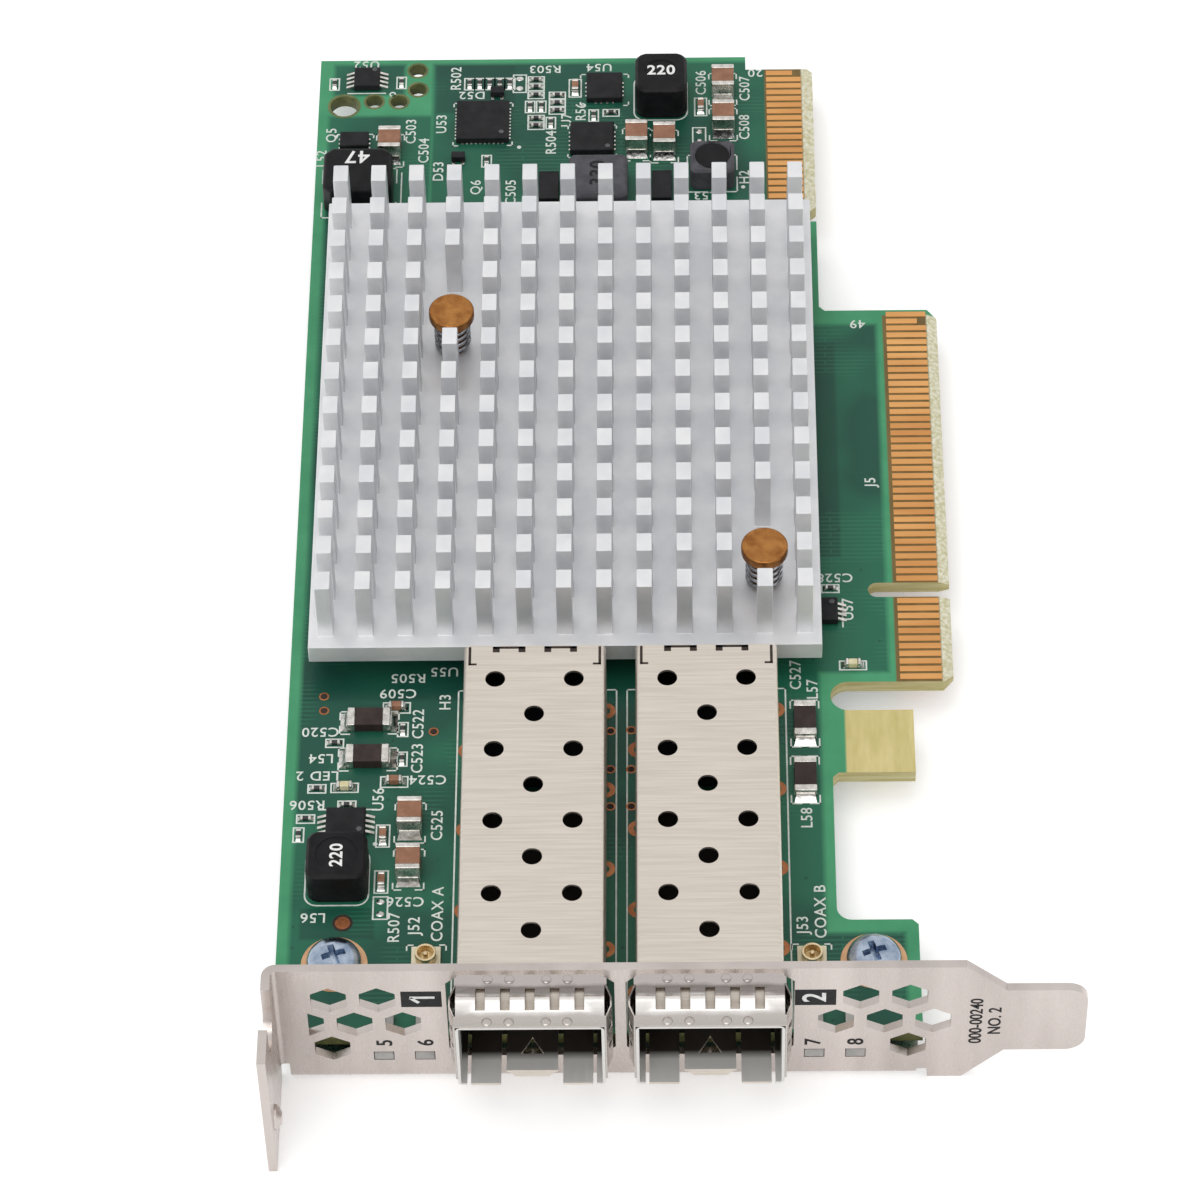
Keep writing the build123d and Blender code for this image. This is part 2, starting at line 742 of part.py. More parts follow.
def clear_of_push_pins(x, y):
    return all(
        abs(x - pin_x) > sink_column_pitch / 2 or abs(y - pin_y) > sink_pin_clear
        for pin_x, pin_y in push_pin_places
    )


# Pin-fin heat sink, with pins left out round the push pins
sink_pins = [
    (x, y)
    for column in range(sink_columns)
    for row in range(sink_rows)
    for x in [sink_place[0] + (column - (sink_columns - 1) / 2) * sink_column_pitch]
    for y in [sink_place[1] + (row - (sink_rows - 1) / 2) * sink_row_pitch]
    if clear_of_push_pins(x, y)
]
with BuildPart() as heat_sink:
    with BuildSketch(board_top.offset(sink_level)):
        with Locations(sink_place):
            Rectangle(sink_width, sink_depth)
        with Locations(*push_pin_places):
            RegularPolygon(push_pin_hole, small_round_sides, major_radius=False, mode=Mode.SUBTRACT)
    extrude(amount=sink_base)
    with BuildSketch(board_top.offset(sink_top)):
        with Locations(*sink_pins):
            Rectangle(sink_pin_width, sink_pin_depth)
    extrude(amount=sink_pin_height)
save(heat_sink.part, "heat_sink")

# Brass push pins: head, shank through heat sink and board, barb under the board
head_under = sink_top + spring_height
with BuildPart() as push_pins:
    with BuildSketch(board_under):
        with Locations(*push_pin_places):
            RegularPolygon(push_pin_shank / 2, small_round_sides)
    extrude(amount=board_thickness + head_under)
    with BuildSketch(board_top.offset(head_under)):
        with Locations(*push_pin_places):
            RegularPolygon(push_pin_head / 2, large_round_sides)
    extrude(amount=push_pin_head_height)
    with BuildSketch(board_under):
        with Locations(*push_pin_places):
            RegularPolygon(push_pin_barb / 2, small_round_sides)
    extrude(amount=-push_pin_reach)
    barb_ends = push_pins.faces().group_by(Axis.Z)[0]
    chamfer(barb_ends.edges(), push_pin_bevel)
save(push_pins.part, "push_pins")

# Coil springs between the heat sink and the push pin heads, each turn in short straight runs
coil_radius = push_pin_shank / 2 + spring_clearance + spring_wire / 2
coil_height = spring_height - 2 * spring_wire
coil_runs = round(spring_turns * spring_runs)
run_turn = 360 / spring_runs
with BuildPart() as push_pin_springs:
    for x, y in push_pin_places:
        foot = Vector(board_left + x, contact_one_y + y, board_height + sink_top + spring_wire)
        coil_points = [
            foot + Vector(coil_radius, 0, coil_height * run / coil_runs).rotate(Axis.Z, run * run_turn)
            for run in range(coil_runs + 1)
        ]
        with BuildLine():
            coil = Polyline(*coil_points)
        with BuildSketch(Plane(origin=coil @ 0, x_dir=(1, 0, 0), z_dir=coil % 0)):
            Rectangle(spring_section, spring_section)
        sweep(path=coil, transition=Transition.RIGHT)
save(push_pin_springs.part, "push_pin_springs")

# Coaxial jacks: moulded base, shell ring and centre pin
with BuildPart() as coax_jack_bases:
    with BuildSketch(board_top):
        with Locations(*jack_places):
            Rectangle(jack_base, jack_base)
    extrude(amount=jack_base_height)
save(coax_jack_bases.part, "coax_jack_bases")

with BuildPart() as coax_jacks:
    with BuildSketch(board_top.offset(jack_base_height)):
        with Locations(*jack_places):
            RegularPolygon(jack_ring / 2, small_round_sides)
            RegularPolygon(jack_ring_bore / 2, small_round_sides, mode=Mode.SUBTRACT)
            RegularPolygon(jack_pin / 2, small_round_sides)
    extrude(amount=jack_ring_height)
save(coax_jacks.part, "coax_jacks")


def chip_bodies(places, size):
    length, width, height, cap = size
    with BuildSketch(board_top) as bodies:
        for x, y, turn in places:
            with Locations((x, y)):
                Rectangle(length - 2 * cap, width - 2 * cap_proud, rotation=turn)
    extrude(bodies.sketch, amount=height - cap_proud)


def chip_ends(places, size):
    length, width, height, cap = size
    with BuildSketch(board_top) as ends:
        for x, y, turn in places:
            end = Vector((length - cap) / 2, 0).rotate(Axis.Z, turn)
            with Locations((x + end.X, y + end.Y), (x - end.X, y - end.Y)):
                Rectangle(cap, width, rotation=turn)
    extrude(ends.sketch, amount=height)


# Chip capacitors, resistors, beads and lamps: bodies by kind, the larger parts' metal ends together
with BuildPart() as ceramic_capacitors:
    chip_bodies(large_capacitors, large_chip)
    chip_bodies(medium_capacitors, medium_chip)
save(ceramic_capacitors.part, "ceramic_capacitors")

with BuildPart() as bead_bodies:
    chip_bodies(ferrite_beads, bead_chip)
save(bead_bodies.part, "ferrite_beads")

with BuildPart() as resistor_bodies:
    chip_bodies(small_resistors, small_chip)
save(resistor_bodies.part, "chip_resistors")

with BuildPart() as lamp_bodies:
    chip_bodies(lamp_places, medium_chip)
save(lamp_bodies.part, "status_lamps")

with BuildPart() as chip_end_caps:
    chip_ends(large_capacitors, large_chip)
    chip_ends(medium_capacitors + lamp_places, medium_chip)
    chip_ends(ferrite_beads, bead_chip)
save(chip_end_caps.part, "chip_end_caps")


def package_body(place, size, level=0):
    width, depth, height = size
    with BuildSketch(board_top.offset(level)) as plan:
        with Locations(place):
            Rectangle(width, depth)
    extrude(plan.sketch, amount=height - level)


# Flat chip packages without leads
for name, (place, size) in flat_packages.items():
    with BuildPart() as package:
        package_body(place, size)
        chamfer(package.faces().sort_by(Axis.Z)[-1].edges(), package_chamfer)
    save(package.part, name)

# Chip packages on gull-wing leads
for name, (place, size) in leaded_packages.items():
    with BuildPart() as package:
        package_body(place, size, lead_thickness)
        chamfer(package.faces().sort_by(Axis.Z)[-1].edges(), package_chamfer)
    save(package.part, name)

with BuildPart() as package_leads:
    for place, size in leaded_packages.values():
        for side in (-1, 1):
            root = (board_left + place[0] + side * size[0] / 2, contact_one_y + place[1], board_height)
            for lead in range(leads_a_side):
                shift = (lead - (leads_a_side - 1) / 2) * lead_pitch
                origin = Vector(*root) + Vector(0, shift - side * lead_width / 2, 0)
                with BuildSketch(Plane(origin=origin, x_dir=(side, 0, 0), z_dir=(0, side, 0))):
                    with BuildLine():
                        Polyline(
                            (0, -lead_level), (lead_reach, -lead_thickness), (lead_reach, 0),
                            (lead_reach - lead_foot, 0), (0, lead_thickness - lead_level), close=True,
                        )
                    make_face()
                extrude(amount=lead_width)
save(package_leads.part, "package_leads")

with BuildPart() as power_diode_pair:
    for place in power_diodes:
        package_body(place, power_diode_size)
save(power_diode_pair.part, "power_diodes")

# Power inductors, some with a shallow round dish on top; the round corners are drawn in flat steps
half_corner = math.tan(math.radians(corner_step))
quarter_corner = math.tan(math.radians(corner_step / 2))
for name, (place, size, corner_size, dish) in (rounded_inductors | square_inductors).items():
    width, depth, height = size
    with BuildPart() as inductor:
        with BuildSketch(board_top) as plan:
            with Locations(place):
                Rectangle(width, depth)
            if name in rounded_inductors:
                chamfer(plan.vertices(), corner_size * (1 - half_corner))
                chamfer(plan.vertices(), corner_size * (half_corner - quarter_corner))
            else:
                chamfer(plan.vertices(), corner_size)
        extrude(amount=height)
        chamfer(inductor.faces().sort_by(Axis.Z)[-1].edges(), inductor_chamfer)
        if dish:
            with BuildSketch(board_top.offset(height)):
                with Locations(place):
                    RegularPolygon(dish, large_round_sides)
            extrude(amount=-inductor_dish, mode=Mode.SUBTRACT)
    save(inductor.part, name)

# Light pipes that carry the link lamps' light from the board to the bracket's windows
with BuildPart() as link_light_pipes:
    pipe_width = window_width - 2 * light_pipe_gap
    pipe_low = window_level - window_height / 2 + light_pipe_gap
    pipe_high = window_level + window_height / 2 - light_pipe_gap
    board_edge = sheet + board_gap
    riser = sheet + light_pipe_gap
    for x, _ in window_places:
        pipe_side = (board_left + x - pipe_width / 2, face_y, board_height)
        with BuildSketch(Plane(origin=pipe_side, x_dir=(0, 1, 0), z_dir=(1, 0, 0))):
            with BuildLine():
                Polyline(
                    (0, pipe_low), (board_edge - light_pipe_gap, pipe_low), (board_edge - light_pipe_gap, 0),
                    (board_edge + light_pipe_seat, 0), (board_edge + light_pipe_seat, light_pipe_rise),
                    (riser, light_pipe_rise), (riser, pipe_high), (0, pipe_high), close=True,
                )
            make_face()
        extrude(amount=pipe_width)
save(link_light_pipes.part, "link_light_pipes")
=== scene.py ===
import math

import bpy
from mathutils import Matrix, Vector


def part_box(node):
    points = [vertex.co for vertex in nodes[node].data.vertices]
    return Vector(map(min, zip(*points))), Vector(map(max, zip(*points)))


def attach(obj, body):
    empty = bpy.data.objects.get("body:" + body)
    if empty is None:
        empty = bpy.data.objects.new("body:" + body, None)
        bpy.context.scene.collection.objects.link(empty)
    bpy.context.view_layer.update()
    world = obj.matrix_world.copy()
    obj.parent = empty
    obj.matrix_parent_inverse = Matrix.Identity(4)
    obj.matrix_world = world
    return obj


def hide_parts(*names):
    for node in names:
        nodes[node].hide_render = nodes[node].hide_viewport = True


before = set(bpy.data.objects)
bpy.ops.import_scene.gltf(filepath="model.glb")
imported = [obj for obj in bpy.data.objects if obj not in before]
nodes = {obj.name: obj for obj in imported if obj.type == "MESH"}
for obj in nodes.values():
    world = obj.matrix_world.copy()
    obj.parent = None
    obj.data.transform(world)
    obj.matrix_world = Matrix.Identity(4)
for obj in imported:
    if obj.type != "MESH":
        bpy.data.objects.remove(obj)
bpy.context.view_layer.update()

# Lengths below are in millimetres; places on the board are read from its left edge and from contact one
mm = 0.001
contact_half = 0.35
tab_depth = 10.6
board_low, board_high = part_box("circuit_board")
bracket_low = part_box("bracket")[0]
contacts_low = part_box("edge_contacts")[0]
left = board_low.x
top = board_high.z
contact_one = contacts_low.y + contact_half * mm
face = bracket_low.y + tab_depth * mm
board_thick = (board_high.z - board_low.z) / mm
face_level = (face - contact_one) / mm

along_x = 0
along_y = 90
ink = 0.012
silk_line = 0.16

# Photo camera
camera_place = (0.0009, -0.35825, 0.4387)
camera_pan = -1.39
camera_tilt = 50.91
camera_roll = -1.53
camera_lens = 161.3
camera_sensor = 36.0


def spot(x, y, z=0.0):
    return Vector((left + x * mm, contact_one + y * mm, top + z * mm))


def tone(red, green, blue):
    def linear(channel):
        share = channel / 255
        return share / 12.92 if share <= 0.04045 else ((share + 0.055) / 1.055) ** 2.4
    return (linear(red), linear(green), linear(blue), 1.0)


# Building blocks of the materials
def put(node, name, value):
    node.inputs[name].default_value = value


def start_material(name):
    material = bpy.data.materials.new(name)
    material.use_nodes = True
    tree = material.node_tree
    return material, tree, tree.nodes["Principled BSDF"]


def object_place(tree, stretch=(1, 1, 1)):
    place = tree.nodes.new("ShaderNodeTexCoord")
    mapping = tree.nodes.new("ShaderNodeMapping")
    put(mapping, "Scale", stretch)
    tree.links.new(place.outputs["Object"], mapping.inputs["Vector"])
    return mapping.outputs["Vector"]


def object_axes(tree):
    split = tree.nodes.new("ShaderNodeSeparateXYZ")
    tree.links.new(object_place(tree), split.inputs["Vector"])
    return split.outputs["X"], split.outputs["Y"], split.outputs["Z"]


def noise(tree, scale, detail=3.0, stretch=(1, 1, 1)):
    made = tree.nodes.new("ShaderNodeTexNoise")
    put(made, "Scale", scale)
    put(made, "Detail", detail)
    tree.links.new(object_place(tree, stretch), made.inputs["Vector"])
    return made.outputs["Fac"]


def ramp(tree, value, low, low_tone, high, high_tone):
    made = tree.nodes.new("ShaderNodeValToRGB")
    first, last = made.color_ramp.elements
    first.position = low
    first.color = low_tone
    last.position = high
    last.color = high_tone
    tree.links.new(value, made.inputs["Fac"])
    return made.outputs["Color"]


def spread(tree, value, low, high, start=0.3, end=0.7):
    made = tree.nodes.new("ShaderNodeMapRange")
    put(made, "From Min", start)
    put(made, "From Max", end)
    put(made, "To Min", low)
    put(made, "To Max", high)
    tree.links.new(value, made.inputs["Value"])
    return made.outputs["Result"]


def sum_up(tree, operation, first, second):
    made = tree.nodes.new("ShaderNodeMath")
    made.operation = operation
    for socket, value in zip(made.inputs, (first, second)):
        if isinstance(value, (int, float)):
            socket.default_value = value
        else:
            tree.links.new(value, socket)
    return made.outputs["Value"]


def blend_tones(tree, share, first, second):
    made = tree.nodes.new("ShaderNodeMix")
    made.data_type = "RGBA"
    tree.links.new(share, made.inputs["Factor"])
    for socket, value in ((made.inputs[6], first), (made.inputs[7], second)):
        if isinstance(value, tuple):
            socket.default_value = value
        else:
            tree.links.new(value, socket)
    return made.outputs[2]


def relief(tree, shader, height, depth):
    bump = tree.nodes.new("ShaderNodeBump")
    put(bump, "Strength", 1.0)
    put(bump, "Distance", depth)
    tree.links.new(height, bump.inputs["Height"])
    tree.links.new(bump.outputs["Normal"], shader.inputs["Normal"])


def surface(
    name, dark, light, patch, rough, metal=0.0, grain=4000, depth=0.004, stretch=(1, 1, 1), shine=0.5,
):
    """One finish: a tone that wanders between two, and a fine grain in its gloss and relief."""
    material, tree, shader = start_material(name)
    put(shader, "Metallic", metal)
    put(shader, "Specular IOR Level", shine)
    patches = noise(tree, patch, 4.0, stretch)
    fine = noise(tree, grain, 2.0, stretch)
    tree.links.new(ramp(tree, patches, 0.35, dark, 0.65, light), shader.inputs["Base Color"])
    tree.links.new(spread(tree, fine, rough[0], rough[1]), shader.inputs["Roughness"])
    relief(tree, shader, fine, depth * mm)
    return material


# Solder mask over copper: paler where the copper stops short of the edges, bare laminate at tab and contacts
copper_areas = [
    (1.2, -43.4, 54.4, 62.0), (40.0, 0.6, 61.6, 48.6), (40.0, -43.4, 62.2, -32.2), (1.2, 60.0, 12.8, 80.6),
    (12.8, 60.0, 54.4, 88.7), (1.6, 83.9, 9.6, 88.7),
]
dark_areas = [
    (2.2, -32.6, 9.6, -28.8), (1.2, -2.6, 18.0, 3.0), (52.0, 16.0, 57.0, 46.0), (13.2, 81.0, 22.0, 88.4),
]
# Painted shade on the board's top under the cage mouths, seen through the collar slits
under_cage_shade_areas = [(19.0, -44.5, 32.0, -38.0), (36.3, -44.5, 49.3, -38.0)]
bare_areas = [(56.9, -13.5, 64.5, -4.0)]
contact_areas = [(62.3, -0.9, 69.0, 49.9), (50.1, 66.2, 56.0, 87.6)]
bevel_areas = [(67.05, -0.9, 69.0, 49.9), (54.25, 65.3, 56.0, 87.6)]


def area_distance(tree, east, north, area):
    low_x, low_y, high_x, high_y = area
    corner_low = spot(low_x, low_y)
    corner_high = spot(high_x, high_y)
    reaches = []
    for value, low, high in ((east, corner_low.x, corner_high.x), (north, corner_low.y, corner_high.y)):
        away = sum_up(tree, "ABSOLUTE", sum_up(tree, "SUBTRACT", value, (low + high) / 2), 0)
        reaches.append(sum_up(tree, "SUBTRACT", away, (high - low) / 2))
    return sum_up(tree, "MAXIMUM", reaches[0], reaches[1])


def inside_areas(tree, east, north, areas, soft):
    nearest = area_distance(tree, east, north, areas[0])
    for area in areas[1:]:
        nearest = sum_up(tree, "MINIMUM", nearest, area_distance(tree, east, north, area))
    return spread(tree, nearest, 1.0, 0.0, -soft * mm, soft * mm)


def solder_mask():
    material, tree, shader = start_material("solder_mask")
    east, north, height = object_axes(tree)

    def inside(areas, soft):
        return inside_areas(tree, east, north, areas, soft)

    pour = ramp(tree, noise(tree, 70, 2.0), 0.44, tone(24, 78, 62), 0.56, tone(34, 100, 76))
    shaded = sum_up(tree, "MULTIPLY", inside(dark_areas, 0.2), 0.6)
    pour = blend_tones(tree, shaded, pour, tone(18, 62, 52))
    tracks = tree.nodes.new("ShaderNodeTexBrick")
    put(tracks, "Scale", 1.0)
    put(tracks, "Brick Width", 11 * mm)
    put(tracks, "Row Height", 0.55 * mm)
    put(tracks, "Mortar Size", 0.1 * mm)
    tree.links.new(object_place(tree), tracks.inputs["Vector"])
    routed = spread(tree, noise(tree, 110, 1.0), 0.0, 0.3, 0.56, 0.62)
    track_share = sum_up(tree, "MULTIPLY", tracks.outputs["Fac"], routed)
    pour = blend_tones(tree, track_share, pour, tone(58, 130, 98))
    drills = tree.nodes.new("ShaderNodeTexVoronoi")
    put(drills, "Scale", 330)
    tree.links.new(object_place(tree, (1, 1, 0)), drills.inputs["Vector"])
    drilled = spread(tree, drills.outputs["Distance"], 0.5, 0.0, 0.05, 0.075)
    pour = blend_tones(tree, drilled, pour, tone(16, 52, 42))
    border = ramp(tree, noise(tree, 200, 3.0), 0.3, tone(62, 142, 100), 0.7, tone(76, 156, 112))
    copper = inside(copper_areas, 0.3)
    colour = blend_tones(tree, copper, border, pour)
    # Painted shade under the cage mouths, on the upper face only
    on_top = spread(tree, height, 0.0, 1.0, top - 0.9 * mm, top - 0.7 * mm)
    under_cage_shade = sum_up(tree, "MULTIPLY", inside(under_cage_shade_areas, 0.1), on_top)
    colour = blend_tones(tree, under_cage_shade, colour, tone(20, 26, 22))
    weave = noise(tree, 900, 3.0, (1, 0.25, 1))
    laminate = ramp(tree, weave, 0.3, tone(196, 182, 118), 0.7, tone(214, 200, 142))
    bare = inside(bare_areas, 0.12)
    colour = blend_tones(tree, bare, colour, laminate)
    resin = ramp(tree, weave, 0.3, tone(104, 84, 44), 0.7, tone(124, 102, 58))
    under_gold = inside(contact_areas, 0.08)
    colour = blend_tones(tree, under_gold, colour, resin)
    frost = ramp(tree, noise(tree, 2500, 3.0), 0.35, tone(196, 190, 150), 0.65, tone(228, 226, 206))
    bevelled = inside(bevel_areas, 0.1)
    colour = blend_tones(tree, bevelled, colour, frost)
    tree.links.new(colour, shader.inputs["Base Color"])
    put(shader, "Specular IOR Level", 0.3)
    fine = noise(tree, 3000, 3.0)
    tree.links.new(spread(tree, fine, 0.28, 0.42), shader.inputs["Roughness"])
    raised = sum_up(tree, "ADD", sum_up(tree, "MULTIPLY", track_share, 1.5), fine)
    relief(tree, shader, raised, 0.004 * mm)
    return material


# Inside of the cages: the nickel tone at the mouth turns to painted shade further in
cage_front = -50.0
painted_shade_reach = 6.0


def cage_inside_painted_shade():
    material, tree, shader = start_material("cage_inside_painted_shade")
    mouth = spot(0, cage_front).y
    inward = spread(tree, object_axes(tree)[1], 0.0, 1.0, mouth, mouth + painted_shade_reach * mm)
    colour = ramp(tree, inward, 0.45, tone(222, 220, 216), 0.62, tone(44, 38, 33))
    tree.links.new(colour, shader.inputs["Base Color"])
    put(shader, "Metallic", 0.3)
    fine = noise(tree, 3000, 2.0, (1, 0.1, 1))
    tree.links.new(spread(tree, fine, 0.34, 0.5), shader.inputs["Roughness"])
    relief(tree, shader, fine, 0.003 * mm)
    return material


# Spring collars: painted shade on the rear slope of the fingers, a painted highlight over their crest and
# front slope, the sheet's own tone on the flat bands
collar_rear = -44.0
collar_light_and_shade_bands = [
    (0.0, tone(186, 180, 175)), (0.2, tone(192, 186, 181)), (0.28, tone(222, 218, 214)),
    (0.48, tone(226, 222, 218)), (0.55, tone(146, 139, 135)), (0.74, tone(138, 131, 127)),
    (0.84, tone(186, 178, 175)),
]


def spring_sheet():
    material, tree, shader = start_material("spring_sheet")
    mouth, rear = spot(0, cage_front).y, spot(0, collar_rear).y
    inward = spread(tree, object_axes(tree)[1], 0.0, 1.0, mouth, rear)
    wander = spread(tree, noise(tree, 500, 3.0, (1, 0.3, 1)), -0.03, 0.03)
    made = tree.nodes.new("ShaderNodeValToRGB")
    stops = made.color_ramp.elements
    stops[0].position, stops[0].color = collar_light_and_shade_bands[0]
    stops[1].position, stops[1].color = collar_light_and_shade_bands[-1]
    for position, colour in collar_light_and_shade_bands[1:-1]:
        stops.new(position).color = colour
    tree.links.new(sum_up(tree, "ADD", inward, wander), made.inputs["Fac"])
    tree.links.new(made.outputs["Color"], shader.inputs["Base Color"])
    put(shader, "Metallic", 1.0)
    fine = noise(tree, 3000, 2.0, (0.2, 1, 1))
    tree.links.new(spread(tree, fine, 0.24, 0.34), shader.inputs["Roughness"])
    relief(tree, shader, fine, 0.004 * mm)
    return material


# Plain finishes: two tones, size of the patches, range of roughness, and what else differs from surface()
finish_rows = {
    "laminate_edge": ((186, 176, 120), (214, 206, 160), 500, (0.6, 0.8),
        dict(grain=3500, depth=0.01, stretch=(0.3, 0.3, 4))),
    "gold_plate": ((206, 145, 86), (230, 173, 108), 300, (0.28, 0.4),
        dict(metal=0.85, grain=5000, depth=0.003, stretch=(0.15, 1, 1))),
    "jack_gold": ((202, 180, 142), (228, 210, 172), 900, (0.24, 0.38), dict(metal=0.95, grain=5000)),
    "bracket_nickel": ((186, 177, 172), (204, 195, 190), 160, (0.24, 0.34),
        dict(metal=1.0, grain=2600, stretch=(1, 1, 0.12))),
    "cage_nickel": ((204, 195, 184), (217, 208, 197), 4200, (0.28, 0.42),
        dict(metal=0.9, grain=7000, depth=0.003, stretch=(0.03, 1, 1))),
    "screw_steel": ((126, 142, 164), (178, 190, 206), 700, (0.14, 0.26), dict(metal=1.0)),
    "bare_aluminium": ((218, 219, 222), (231, 231, 232), 260, (0.4, 0.54),
        dict(metal=0.6, grain=6500, depth=0.008)),
    "pin_brass": ((142, 90, 46), (178, 124, 68), 700, (0.24, 0.42),
        dict(metal=0.95, grain=3000, depth=0.006)),
    "spring_steel": ((152, 154, 158), (182, 184, 188), 900, (0.2, 0.35), dict(metal=1.0, grain=5000)),
    "pad_grey": ((150, 150, 154), (172, 172, 174), 500, (0.7, 0.85), dict(grain=3000)),
    "chip_black": ((24, 24, 26), (36, 36, 38), 700, (0.5, 0.66), dict(grain=9000, depth=0.006, shine=0.2)),
    "port_black": ((22, 22, 24), (32, 32, 34), 500, (0.5, 0.65), dict(grain=5000, shine=0.2)),
    "capacitor_tan": ((136, 96, 74), (158, 115, 91), 900, (0.34, 0.5), dict(grain=6000, shine=0.3)),
    "bead_grey": ((46, 36, 34), (60, 48, 45), 900, (0.35, 0.5), dict(grain=6000, shine=0.25)),
    "resistor_black": ((34, 34, 36), (50, 50, 52), 900, (0.25, 0.4), dict(grain=6000)),
    "tinned_metal": ((188, 184, 178), (226, 222, 216), 1500, (0.2, 0.4),
        dict(metal=1.0, grain=5000, depth=0.012)),
    "solder": ((176, 174, 170), (228, 226, 222), 1800, (0.12, 0.3),
        dict(metal=1.0, grain=2600, depth=0.03)),
    "lamp_clear": ((206, 196, 150), (228, 220, 184), 900, (0.15, 0.3), {}),
    "pipe_clear": ((150, 148, 144), (172, 170, 166), 700, (0.3, 0.45), {}),
    "inductor_black": ((18, 18, 20), (28, 28, 30), 600, (0.36, 0.5),
        dict(grain=4500, depth=0.012, shine=0.14)),
    "inductor_grey": ((70, 69, 74), (86, 85, 90), 800, (0.55, 0.7),
        dict(grain=3800, depth=0.02, shine=0.3)),
    "jack_ivory": ((212, 202, 172), (228, 220, 194), 900, (0.5, 0.65), dict(grain=5000)),
    "silk_white": ((204, 212, 204), (228, 232, 226), 1600, (0.55, 0.7), dict(grain=6000)),
    "mark_white": ((226, 226, 224), (244, 244, 242), 1600, (0.5, 0.65), dict(grain=6000)),
    "mark_grey": ((74, 74, 78), (92, 92, 96), 2000, (0.5, 0.65), dict(grain=6000)),
    "mark_black": ((22, 22, 24), (34, 34, 36), 1600, (0.45, 0.6), dict(grain=6000, shine=0.2)),
    "bare_copper": ((150, 90, 56), (182, 120, 78), 700, (0.25, 0.45), dict(metal=0.7)),
    "pad_copper": ((196, 150, 112), (216, 174, 134), 700, (0.35, 0.5), dict(metal=0.6)),
    "hole_rim": ((88, 94, 54), (116, 118, 72), 900, (0.5, 0.65), {}),
    # Painted shade for the via bores and the cage slots, and the dark ring round the fiducial
    "dark_ring_and_painted_shade": ((30, 22, 18), (52, 36, 26), 2000, (0.6, 0.8), dict(grain=6000)),
}
finishes = {
    name: surface(name, tone(*dark), tone(*light), patch, rough, **options)
    for name, (dark, light, patch, rough, options) in finish_rows.items()
}
finishes["solder_mask"] = solder_mask()
finishes["cage_inside_painted_shade"] = cage_inside_painted_shade()
finishes["spring_sheet"] = spring_sheet()


# Handling of pieces
upper = 1
under = -1


def object_mode():
    bpy.ops.object.mode_set(mode="OBJECT")


def edit_mode():
    bpy.ops.object.mode_set(mode="EDIT")


def deselect():
    bpy.ops.object.select_all(action="DESELECT")


def current():
    return bpy.context.active_object


def settle():
    bpy.ops.object.transform_apply(location=True, rotation=True, scale=True)


def hold(*pieces):
    if bpy.context.mode != "OBJECT":
        object_mode()
    deselect()
    for piece in pieces:
        piece.select_set(True)
    bpy.context.view_layer.objects.active = pieces[0]


def joined(pieces):
    hold(*pieces)
    if len(pieces) > 1:
        bpy.ops.object.join()
    return current()


def open_whole(piece):
    """Enters edit mode with everything selected."""
    hold(piece)
    edit_mode()
    bpy.ops.mesh.select_all(action="SELECT")


def open_none(piece, kind):
    hold(piece)
    edit_mode()
    bpy.ops.mesh.select_mode(type=kind)
    bpy.ops.mesh.select_all(action="DESELECT")
    object_mode()


def pick_faces(piece, side):
    """Enters edit mode with the upper or the under faces selected."""
    open_none(piece, "FACE")
    for polygon in piece.data.polygons:
        polygon.select = polygon.normal.z * side > 0.9
    edit_mode()


def pick_edges(piece, test):
    open_none(piece, "EDGE")
    vertices = piece.data.vertices
    for edge in piece.data.edges:
        start, end = (vertices[index].co for index in edge.vertices)
        edge.select = test(start, end)
    edit_mode()


def draw_out(rise):
    bpy.ops.mesh.extrude_region_move(TRANSFORM_OT_translate={"value": (0, 0, rise)})


def merge_flats(piece):
    open_whole(piece)
    bpy.ops.mesh.dissolve_limited(angle_limit=math.radians(0.5))
    bpy.ops.mesh.dissolve_degenerate(threshold=0.001 * mm)
    object_mode()


def soften(piece, width, segments=2, limit=40):
    hold(piece)
    bevel = piece.modifiers.new("edge", "BEVEL")
    bevel.width = width * mm
    bevel.segments = segments
    bevel.limit_method = "ANGLE"
    bevel.angle_limit = math.radians(limit)
    bpy.ops.object.modifier_apply(modifier=bevel.name)
    merge_flats(piece)
    bpy.ops.object.shade_smooth_by_angle(angle=math.radians(35))
    flat = piece.modifiers.new("flat", "WEIGHTED_NORMAL")
    flat.keep_sharp = True
    bpy.ops.object.modifier_apply(modifier=flat.name)


def complete(piece, name, finish, replaced=()):
    hold(piece)
    settle()
    piece.name = name
    piece.data.name = name
    piece.data.materials.clear()
    piece.data.materials.append(finishes[finish])
    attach(piece, "root")
    if replaced:
        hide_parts(*replaced)
    return piece


def at(places, turn=0, level=0.0):
    """Places for stamp: point, turn and size."""
    return [(spot(x, y, level), turn, (1, 1, 1)) for x, y in places]


def stamp(master, places):
    """Copies the master to each place, removes it and joins the copies."""
    copies = []
    for point, turn, size in places:
        copy = bpy.data.objects.new(master.name, master.data.copy())
        bpy.context.scene.collection.objects.link(copy)
        spin = Matrix.Rotation(math.radians(turn), 4, "Z")
        copy.data.transform(Matrix.Translation(point) @ spin @ Matrix.Diagonal((*size, 1)))
        copies.append(copy)
    bpy.data.objects.remove(master)
    return joined(copies)


def copy_of(node):
    piece = bpy.data.objects.new(node + "_finish", nodes[node].data.copy())
    bpy.context.scene.collection.objects.link(piece)
    open_whole(piece)
    bpy.ops.mesh.remove_doubles(threshold=0.001 * mm)
    merge_flats(piece)
    bpy.ops.mesh.customdata_custom_splitnormals_clear()
    return piece


